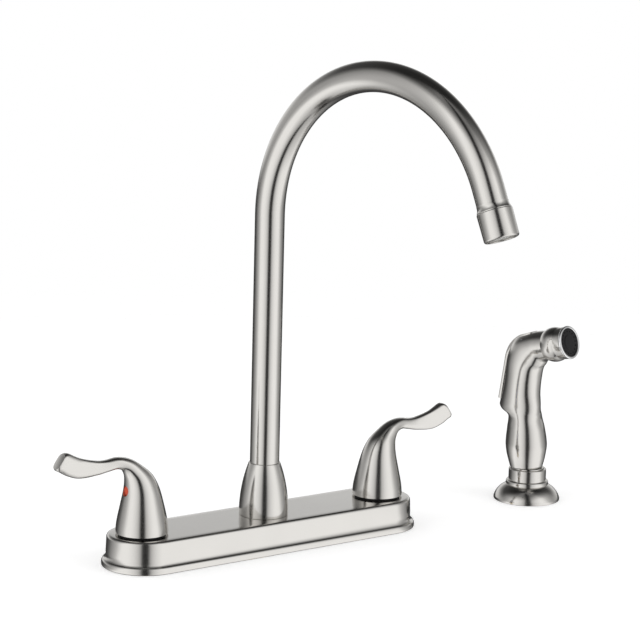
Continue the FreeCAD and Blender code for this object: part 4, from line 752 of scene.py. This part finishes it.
def handle_matrix(side):
    """Where a handle stands: side is -1 for hot and 1 for cold."""
    handle = sizes().handle
    turn = math.pi - handle.hot_turn if side < 0 else 0.0
    return Matrix.Translation((handle.spacing / 2 * side, 0, 0)) @ Matrix.Rotation(turn, 4, "Z")


def across_matrix(x, z):
    """A turned piece laid along the lever's direction from its axis."""
    return Matrix.Translation((x, 0, z)) @ Matrix.Rotation(math.pi / 2, 4, "Y")


def make_handle(name, side, index_slot):
    """A lever, hollow under its skirt, with its index button in a room of its own."""
    handle = sizes().handle
    hollow_depth, end_round, button_depth, gap = 0.012, 0.0006, 0.002, 0.0001
    mesh = lofted(handle_stations(handle), ROUND, ROUND_SMALL)
    skirt = min(mesh.faces, key=lambda face: face.calc_center_median().z)
    bmesh.ops.inset_individual(mesh, faces=[skirt], thickness=handle.wall)
    hollow = bmesh.ops.extrude_discrete_faces(mesh, faces=[skirt])["faces"]
    bmesh.ops.translate(
        mesh, verts=list({v for face in hollow for v in face.verts}), vec=(0, 0, hollow_depth))
    bmesh.ops.recalc_face_normals(mesh, faces=mesh.faces)
    ends = [edge for edge in mesh.edges if len(edge.link_faces) == 2
            and edge.calc_face_angle() > math.radians(50) and edge.verts[0].co.z > handle.index_level]
    bmesh.ops.bevel(
        mesh, geom=ends, offset=end_round, offset_type="OFFSET", segments=3, profile=0.5,
        affect="EDGES", material=-1, clamp_overlap=True)
    shell = to_object(mesh, f"{name}_lever")
    seat = handle.index_face - button_depth
    room = turned([
        (0.0, 0.0), (handle.index_radius + gap, 0.0), (handle.index_radius + gap, 0.01),
        (0.0, 0.01)], steps=ROUND_SMALL, closed=False)
    cut(shell, place(room, across_matrix(seat, handle.index_level)))
    shell.data.transform(handle_matrix(side))
    dress(shell, f"{name}_handle", f"{name}_handle_shell", sharp=40)
    button = turned([
        (0.0, seat), (handle.index_radius, seat),
        (handle.index_radius, handle.index_face - 0.0003, 0.0003),
        (0.0, handle.index_face + 0.0001)], steps=ROUND_SMALL, closed=False)
    place(button, handle_matrix(side) @ across_matrix(0.0, handle.index_level))
    dress(to_object(button, f"{name}_index"), f"{name}_handle", f"{name}_index_button", index_slot)


# ---------------- side spray


def spray_matrix():
    spray = sizes().spray
    return Matrix.Translation((spray.x, 0, 0)) @ Matrix.Rotation(spray.turn, 4, "Z")


def head_matrix():
    """Where the head starts: its Z runs out of the nozzle."""
    spray = sizes().spray
    x = spray.nozzle_reach - spray.head_length * math.cos(spray.nozzle_rise)
    z = spray.nozzle_level - spray.head_length * math.sin(spray.nozzle_rise)
    pitch = math.pi / 2 - spray.nozzle_rise
    return Matrix.Translation((x, 0, z)) @ Matrix.Rotation(pitch, 4, "Y")


def make_holder():
    spray = sizes().spray
    stand = Matrix.Translation((spray.x, 0, 0))
    bead_top = spray.flange_height + spray.bead_height
    shoulder = (spray.bead_radius - 0.0002, spray.flange_height)
    recess, hole = 0.0178, 0.0133
    flange = turned([
        (recess, 0.0),
        (spray.flange_radius, 0.0, 0.0006),
        (spray.flange_radius, spray.flange_edge - 0.0002),
        *bowed((spray.flange_radius, spray.flange_edge), shoulder, -spray.flange_bow, 24),
        shoulder,
        (spray.bead_radius, spray.flange_height + 0.0004, 0.0003),
        (spray.bead_radius, bead_top, 0.0014),
        (hole, bead_top),
        (hole, 0.0056),
        (recess, 0.0036),
    ], steps=ROUND_LARGE)
    dress(to_object(place(flange, stand), "domed_flange"), "deck_unit", "holder_flange")
    top = bead_top + spray.collar_height
    mouth = spray.rim_radius + 0.0003
    bore, shank, groove, seat = 0.0106, 0.0130, 0.0125, 0.0132
    collar = turned([
        (bore, -0.0379), (shank, -0.0379),
        (shank, -0.0260), (groove, -0.0260), (groove, -0.0250), (shank, -0.0250),
        (shank, -0.0110), (groove, -0.0110), (groove, -0.0100), (seat, -0.0100),
        (seat, -0.0003), (seat - 0.0001, -0.0003), (seat - 0.0001, bead_top),
        (spray.collar_radius, bead_top),
        (spray.collar_radius, top, 0.0006),
        (mouth, top, 0.0003),
        (mouth, top - 0.0020),
        (bore, top - 0.0080),
    ])
    dress(to_object(place(collar, stand), "sprayer_collar"), "deck_unit", "holder_collar")


def wand_stations(spray):
    foot, belly, waist = spray.foot_radius, spray.belly_radius, spray.waist_radius
    foot_z, belly_z, waist_z = spray.foot_level, spray.belly_level, spray.waist_level
    back = -spray.set_back
    return [
        (back + 0.0002, foot_z, 0, foot, foot, 2),
        (back, foot_z + 0.0055, 0, foot + 0.0015, foot + 0.0015, 2),
        (back - 0.0003, foot_z + 0.011, 0, foot + 0.0027, foot + 0.0027, 2),
        (back - 0.0005, belly_z, 0, belly, belly, 2),
        (back - 0.0013, belly_z + 0.012, 0, belly - 0.0014, belly - 0.0014, 2),
        (back - 0.0024, waist_z, 0, waist, waist, 2),
        (back - 0.0036, waist_z + 0.0024, 0, waist + 0.0009, waist - 0.0001, 2),
        (back - 0.0062, waist_z + 0.0045, 0, waist + 0.0030, waist - 0.0004, 2.05),
        (back - 0.0075, waist_z + 0.0072, 0, waist + 0.0040, waist - 0.0006, 2.05),
        (back - 0.0074, waist_z + 0.0102, 0, waist + 0.0038, waist - 0.0006, 2.05),
        (back - 0.0067, waist_z + 0.0197, 1, waist + 0.0020, waist - 0.0007, 2.1),
        (back - 0.0056, waist_z + 0.0307, 4, waist + 0.0012, waist - 0.0006, 2.2),
        (back - 0.0042, waist_z + 0.0417, 13, waist + 0.0013, waist - 0.0006, 2.4),
        (back - 0.0003, waist_z + 0.0502, 35, waist + 0.0018, waist - 0.0007, 2.5),
        (back + 0.0062, waist_z + 0.0546, 58, waist - 0.0001, waist - 0.0010, 2.2),
        (back + 0.0116, waist_z + 0.0570, 75, waist - 0.0013, waist - 0.0014, 2),
        (back + 0.0165, waist_z + 0.0583, 75, waist - 0.0017, waist - 0.0017, 2),
    ]


def side_form(outline, half_width):
    """An outline in the XZ plane given a width along Y."""
    mesh = wire(bmesh.new(), outline, closed=True)
    bmesh.ops.contextual_create(mesh, geom=mesh.edges[:])
    made = bmesh.ops.extrude_face_region(mesh, geom=mesh.faces[:])["geom"]
    bmesh.ops.translate(mesh, verts=verts_in(made), vec=(0, half_width * 2, 0))
    bmesh.ops.translate(mesh, verts=mesh.verts, vec=(0, -half_width, 0))
    return tidy(mesh)


def make_trigger():
    spray = sizes().spray
    thick, lug = spray.trigger_thick, spray.lug
    lip, back, crown, tail, pin = spray.lip, spray.back, spray.crown, spray.tail, spray.pin
    crown_in = (crown[0] + 0.0007, crown[1] - thick + 0.0001)
    back_in = (back[0] + thick, back[1] - 0.0003)
    outline = [
        (lip[0] + thick, lip[1] - 0.0003, 0.0004),
        (lip[0] - 0.0003, lip[1], 0.0008),
        (lip[0], lip[1] + 0.0020),
        *bowed(back, crown, 0.13, 12),
        crown,
        tail,
        (tail[0] + 0.0006, tail[1] - thick, 0.0006),
        (pin[0] + lug, tail[1] - thick - 0.0005),
        (pin[0] + lug, pin[1] - lug, 0.0030),
        (pin[0] - lug, pin[1] - lug, 0.0030),
        (pin[0] - lug, crown[1] - thick + 0.0004),
        *bowed(crown_in, back_in, -0.11, 10),
        back_in,
    ]
    mesh = soften(side_form(outline, spray.trigger_half), 0.0005, 50)
    place(mesh, spray_matrix())
    dress(to_object(mesh, "trigger_lever"), "trigger_lever", "trigger")


def trigger_room():
    """What the trigger sweeps in the sprayer's back."""
    spray = sizes().spray
    lip, back, tail, pin = spray.lip, spray.back, spray.tail, spray.pin
    room = spray.lug + 0.0003
    outside, over = lip[0] - 0.008, tail[1] + 0.006
    ledge, dive = lip[1] - 0.0007, lip[1] - 0.0026
    outline = [
        (outside, ledge), (lip[0] - 0.0003, ledge), (lip[0] + 0.0034, dive),
        (lip[0] + 0.0079, dive), (back[0] + 0.0047, back[1] - 0.0015),
        (pin[0] - room - 0.0015, pin[1] - 0.0032), (pin[0] - room + 0.0011, pin[1] - 0.0034),
        (pin[0], pin[1] - room), (pin[0] + room, pin[1] - 0.0020),
        (pin[0] + room, tail[1] - spray.trigger_thick - 0.0009),
        (tail[0] + 0.0009, tail[1] - spray.trigger_thick - 0.0004),
        (tail[0] + 0.0009, over), (outside, over),
    ]
    return side_form(outline, spray.trigger_half + 0.0003)


def make_sprayer_body():
    spray = sizes().spray
    body = to_object(lofted(wand_stations(spray), ROUND_LARGE, ROUND_MIDDLING), "spray_wand")
    front = spray.head_length - spray.rim_length
    groove = spray.head_length - 0.0080
    bore_radius, bore_top = 0.0066, 0.0405
    head = turned([
        (0.0, -0.0015),
        (spray.head_neck - 0.0006, -0.0015),
        (spray.head_neck, 0.001),
        *bowed((spray.head_neck, 0.0058), (spray.head_groove, groove), -spray.ball_bow, 20),
        (spray.head_groove, groove),
        (spray.head_front, front, 0.0002),
        (0.0, front),
    ], closed=False)
    cut(body, place(head, head_matrix()), "UNION")
    cut(body, trigger_room())
    bore = turned([
        (0.0, spray.foot_level - 0.002), (bore_radius, spray.foot_level - 0.002),
        (bore_radius, bore_top), (0.0, bore_top)], steps=ROUND_SMALL, closed=False)
    cut(body, bore)
    body.data.transform(spray_matrix())
    dress(body, "sprayer", "sprayer_body", sharp=32)


def make_nozzle():
    spray = sizes().spray
    stand = spray_matrix() @ head_matrix()
    end = spray.head_length
    start = end - spray.rim_length + 0.00002
    rim = turned([
        (spray.rim_bore, start),
        (spray.head_front, start),
        (spray.rim_front, start + 0.0005, 0.0003),
        (spray.rim_front, end, 0.0008),
        (spray.rim_bore, end, 0.0006),
    ])
    dress(to_object(place(rim, stand), "polished_rim"), "sprayer", "nozzle_rim", "chrome")
    face = end - spray.face_back
    black = turned([
        (0.0, start),
        (spray.rim_bore - 0.00005, start),
        (spray.rim_bore - 0.00005, face, 0.0005),
        (spray.face_disc, face, 0.0002),
        (spray.face_disc - 0.0004, face + 0.0007, 0.0003),
        (0.0, face + 0.0007),
    ], closed=False)
    piece = to_object(black, "spray_face")
    holes = bmesh.new()
    for index in range(spray.holes):
        spin = Matrix.Rotation(math.tau * index / spray.holes, 4, "Z")
        spot = spin @ Matrix.Translation((spray.hole_ring, 0, face))
        bmesh.ops.create_cone(
            holes, cap_ends=True, segments=16, radius1=0.0006, radius2=0.0006, depth=0.003,
            matrix=spot)
    cut(piece, holes)
    piece.data.transform(stand)
    dress(piece, "sprayer", "nozzle_face", "black_plastic")


# ---------------- nodes that stay


def finish_other_nodes():
    """Give every node that still shows the finish of its slot."""
    slots = {part["node"]: part["material_slot"] for part in frame["record"]["subparts"]}
    for name, node in frame["nodes"].items():
        if node.hide_render:
            continue
        finish = finish_for(slots[name])
        if node.data.materials:
            node.data.materials[0] = finish
        else:
            node.data.materials.append(finish)


# ---------------- studio


def ramp(tree, value, stops):
    """A grey ramp over 0 to 1, its stops as (place, brightness)."""
    node = add(tree, "ValToRGB", {"Fac": value})
    elements = node.color_ramp.elements
    while len(elements) < len(stops):
        elements.new(0.5)
    for element, (at, grey) in zip(elements, stops):
        element.position = at
        element.color = (grey, grey, grey, 1)
    return node.outputs["Color"]


def seen(tree):
    """1 for camera, mirror and glass rays, 0 for all others."""
    path = add(tree, "LightPath", {}).outputs
    direct = calculate(tree, "MAXIMUM", path["Is Camera Ray"], path["Is Glossy Ray"])
    return calculate(tree, "MAXIMUM", direct, path["Is Transmission Ray"])


def make_world():
    """Soft light from all round, before a white background."""
    world = bpy.data.worlds.new("soft_room")
    world.use_nodes = True
    world.cycles_visibility.glossy = False
    tree = world.node_tree
    room = tree.nodes["Background"]
    feed(room, {"Color": WHITE, "Strength": sizes().studio.world})
    white = add(tree, "Background", {"Color": WHITE})
    mix = add(tree, "MixShader", {0: seen(tree), 1: room.outputs[0], 2: white.outputs[0]})
    feed(tree.nodes["World Output"], {"Surface": mix.outputs[0]})
    bpy.context.scene.world = world


def make_floor():
    """Pale floor that fades into the white background away from the faucet."""
    studio = sizes().studio
    mesh = bmesh.new()
    circle(mesh, ROUND, FLOOR_RADIUS, cap_ends=True)
    floor = to_object(mesh, "floor")
    floor.visible_glossy = False
    material = bpy.data.materials.new("pale_floor")
    material.use_nodes = True
    tree = material.node_tree
    where = add(tree, "TexCoord", {}).outputs["Object"]
    reach = add(tree, "VectorMath", {0: where}, operation="LENGTH").outputs["Value"]
    near, far = FLOOR_FADE
    fade = add(tree, "MapRange", {
        "Value": reach, "From Min": near, "From Max": far, "To Min": 1.0, "To Max": 0.0,
    }, interpolation_type="SMOOTHSTEP")
    glow = calculate(tree, "MULTIPLY", seen(tree), studio.floor_glow)
    feed(tree.nodes["Principled BSDF"], {
        "Base Color": (*studio.floor, 1), "Roughness": 0.9, "Specular IOR Level": 0.1,
        "Emission Color": WHITE, "Emission Strength": glow, "Alpha": fade.outputs["Result"]})
    floor.data.materials.append(material)


def tent_brightness(tree):
    """Brightness of the tent: a dark front flag, soft boxes beside it and a dim back."""
    studio = sizes().studio
    where = add(tree, "TexCoord", {}).outputs["Object"]
    front = add(tree, "Mapping", {
        "Vector": where, "Rotation": (0, 0, -studio.tent_heading), "Scale": (1 / TENT_RADIUS,) * 3})
    x, y, z = add(tree, "SeparateXYZ", {0: front.outputs["Vector"]}).outputs
    beside = calculate(tree, "ARCTAN2", calculate(tree, "ABSOLUTE", y), x)
    turn = calculate(tree, "DIVIDE", beside, math.pi)
    rise = calculate(tree, "MULTIPLY_ADD", z, 0.5, 0.5)
    height = calculate(tree, "SUBTRACT", z, TENT_LEVEL)
    lean = calculate(
        tree, "MINIMUM", calculate(tree, "MULTIPLY", height, TENT_LEAN_ABOVE),
        calculate(tree, "MULTIPLY", height, TENT_LEAN_BELOW))
    sides = ramp(tree, calculate(tree, "ADD", turn, lean), TENT_SIDES)
    boxes = calculate(tree, "MULTIPLY", ramp(tree, turn, TENT_FLAG), sides)
    lit = calculate(tree, "MULTIPLY", boxes, ramp(tree, rise, TENT_UPPER))
    whole = calculate(
        tree, "MULTIPLY_ADD", ramp(tree, turn, TENT_BACK_ROUND), ramp(tree, rise, TENT_BACK), lit)
    return calculate(tree, "MULTIPLY", whole, studio.tent)


def make_tent():
    """Round tent of soft boxes and dark flags round the table, seen only in the metal."""
    mesh = bmesh.new()
    bmesh.ops.create_uvsphere(
        mesh, u_segments=ROUND_SMALL, v_segments=ROUND_SMALL // 2, radius=TENT_RADIUS)
    tent = to_object(mesh, "light_tent")
    material = bpy.data.materials.new("light_tent")
    material.use_nodes = True
    tree = material.node_tree
    tree.nodes.remove(tree.nodes["Principled BSDF"])
    glow = add(tree, "Emission", {"Strength": tent_brightness(tree)})
    feed(tree.nodes["Material Output"], {"Surface": glow.outputs[0]})
    tent.data.materials.append(material)
    tent.visible_camera = False
    tent.visible_diffuse = False
    tent.visible_shadow = False
    tent.visible_transmission = False


def make_lamp(name, spot, power):
    light = bpy.data.lights.new(name, "AREA")
    light.size = LAMP_SIZE
    light.energy = power
    lamp = bpy.data.objects.new(name, light)
    lamp.location = spot
    lamp.visible_glossy = False
    lamp.rotation_euler = (Vector(LAMP_AIM) - Vector(spot)).to_track_quat("-Z", "Y").to_euler()
    bpy.context.scene.collection.objects.link(lamp)


def make_camera():
    studio = sizes().studio
    data = bpy.data.cameras.new("camera")
    data.lens = studio.lens
    data.sensor_width = 36.0
    data.clip_end = 20.0
    camera = bpy.data.objects.new("camera", data)
    look = Vector(studio.target) - Vector(studio.camera)
    turn = look.to_track_quat("-Z", "Y").to_matrix().to_4x4()
    roll = Matrix.Rotation(studio.roll, 4, "Z")
    camera.matrix_world = Matrix.Translation(studio.camera) @ turn @ roll
    bpy.context.scene.collection.objects.link(camera)
    bpy.context.scene.camera = camera


def make_studio():
    studio = sizes().studio
    bpy.context.scene.view_settings.view_transform = "Standard"
    make_world()
    make_floor()
    make_tent()
    make_lamp("lamp_left", studio.fill_place, studio.fill)
    make_lamp("lamp_right", studio.key_place, studio.key)
    make_camera()


# ---------------- operators and panel


class FAUCET_OT_plate(bpy.types.Operator):
    """Build the deck plate"""

    bl_idname = "faucet.plate"
    bl_label = "Deck Plate"

    def execute(self, context):
        make_plate()
        return {"FINISHED"}


class FAUCET_OT_spout(bpy.types.Operator):
    """Build the bell, the bent tube and the spout's end"""

    bl_idname = "faucet.spout"
    bl_label = "Spout"

    def execute(self, context):
        make_bell()
        make_tube()
        make_spout_end()
        return {"FINISHED"}


class FAUCET_OT_handles(bpy.types.Operator):
    """Build both lever handles with their index buttons"""

    bl_idname = "faucet.handles"
    bl_label = "Handles"

    def execute(self, context):
        make_handle("hot", -1, "red_plastic")
        make_handle("cold", 1, "blue_plastic")
        return {"FINISHED"}


class FAUCET_OT_holder(bpy.types.Operator):
    """Build the holder of the side spray"""

    bl_idname = "faucet.holder"
    bl_label = "Spray Holder"

    def execute(self, context):
        make_holder()
        return {"FINISHED"}


class FAUCET_OT_sprayer(bpy.types.Operator):
    """Build the sprayer with its trigger and nozzle"""

    bl_idname = "faucet.sprayer"
    bl_label = "Sprayer"

    def execute(self, context):
        make_sprayer_body()
        make_trigger()
        make_nozzle()
        return {"FINISHED"}


class FAUCET_OT_inner_parts(bpy.types.Operator):
    """Give the remaining nodes their finishes"""

    bl_idname = "faucet.inner_parts"
    bl_label = "Other Pieces"

    def execute(self, context):
        finish_other_nodes()
        return {"FINISHED"}


class FAUCET_OT_studio(bpy.types.Operator):
    """Set up floor, light and camera"""

    bl_idname = "faucet.studio"
    bl_label = "Studio"

    def execute(self, context):
        make_studio()
        return {"FINISHED"}


STEPS = (
    FAUCET_OT_plate, FAUCET_OT_spout, FAUCET_OT_handles, FAUCET_OT_holder, FAUCET_OT_sprayer,
    FAUCET_OT_inner_parts, FAUCET_OT_studio)
GROUPS = (
    PlateSizes, SpoutSizes, HandleSizes, SpraySizes, FinishColours, StudioSizes, FaucetSettings)


class FAUCET_PT_panel(bpy.types.Panel):
    """Lists the sizes and the steps"""

    bl_idname = "FAUCET_PT_panel"
    bl_label = "Faucet"
    bl_space_type = "VIEW_3D"
    bl_region_type = "UI"
    bl_category = "Faucet"

    def draw(self, context):
        settings = context.scene.faucet
        for title in ("plate", "spout", "handle", "spray", "finish", "studio"):
            group = getattr(settings, title)
            box = self.layout.box()
            box.label(text=title.capitalize())
            for prop in group.bl_rna.properties:
                if prop.identifier not in ("rna_type", "name"):
                    box.prop(group, prop.identifier)
        for step in STEPS:
            self.layout.operator(step.bl_idname)


CLASSES = (*GROUPS, *STEPS, FAUCET_PT_panel)


def register():
    for item in CLASSES:
        bpy.utils.register_class(item)
    bpy.types.Scene.faucet = PointerProperty(type=FaucetSettings)


def unregister():
    del bpy.types.Scene.faucet
    for item in reversed(CLASSES):
        bpy.utils.unregister_class(item)


def main():
    register()
    bpy.ops.faucet.plate()
    bpy.ops.faucet.spout()
    bpy.ops.faucet.handles()
    bpy.ops.faucet.holder()
    bpy.ops.faucet.sprayer()
    bpy.ops.faucet.inner_parts()
    bpy.ops.faucet.studio()


if __name__ == "__main__":
    main()
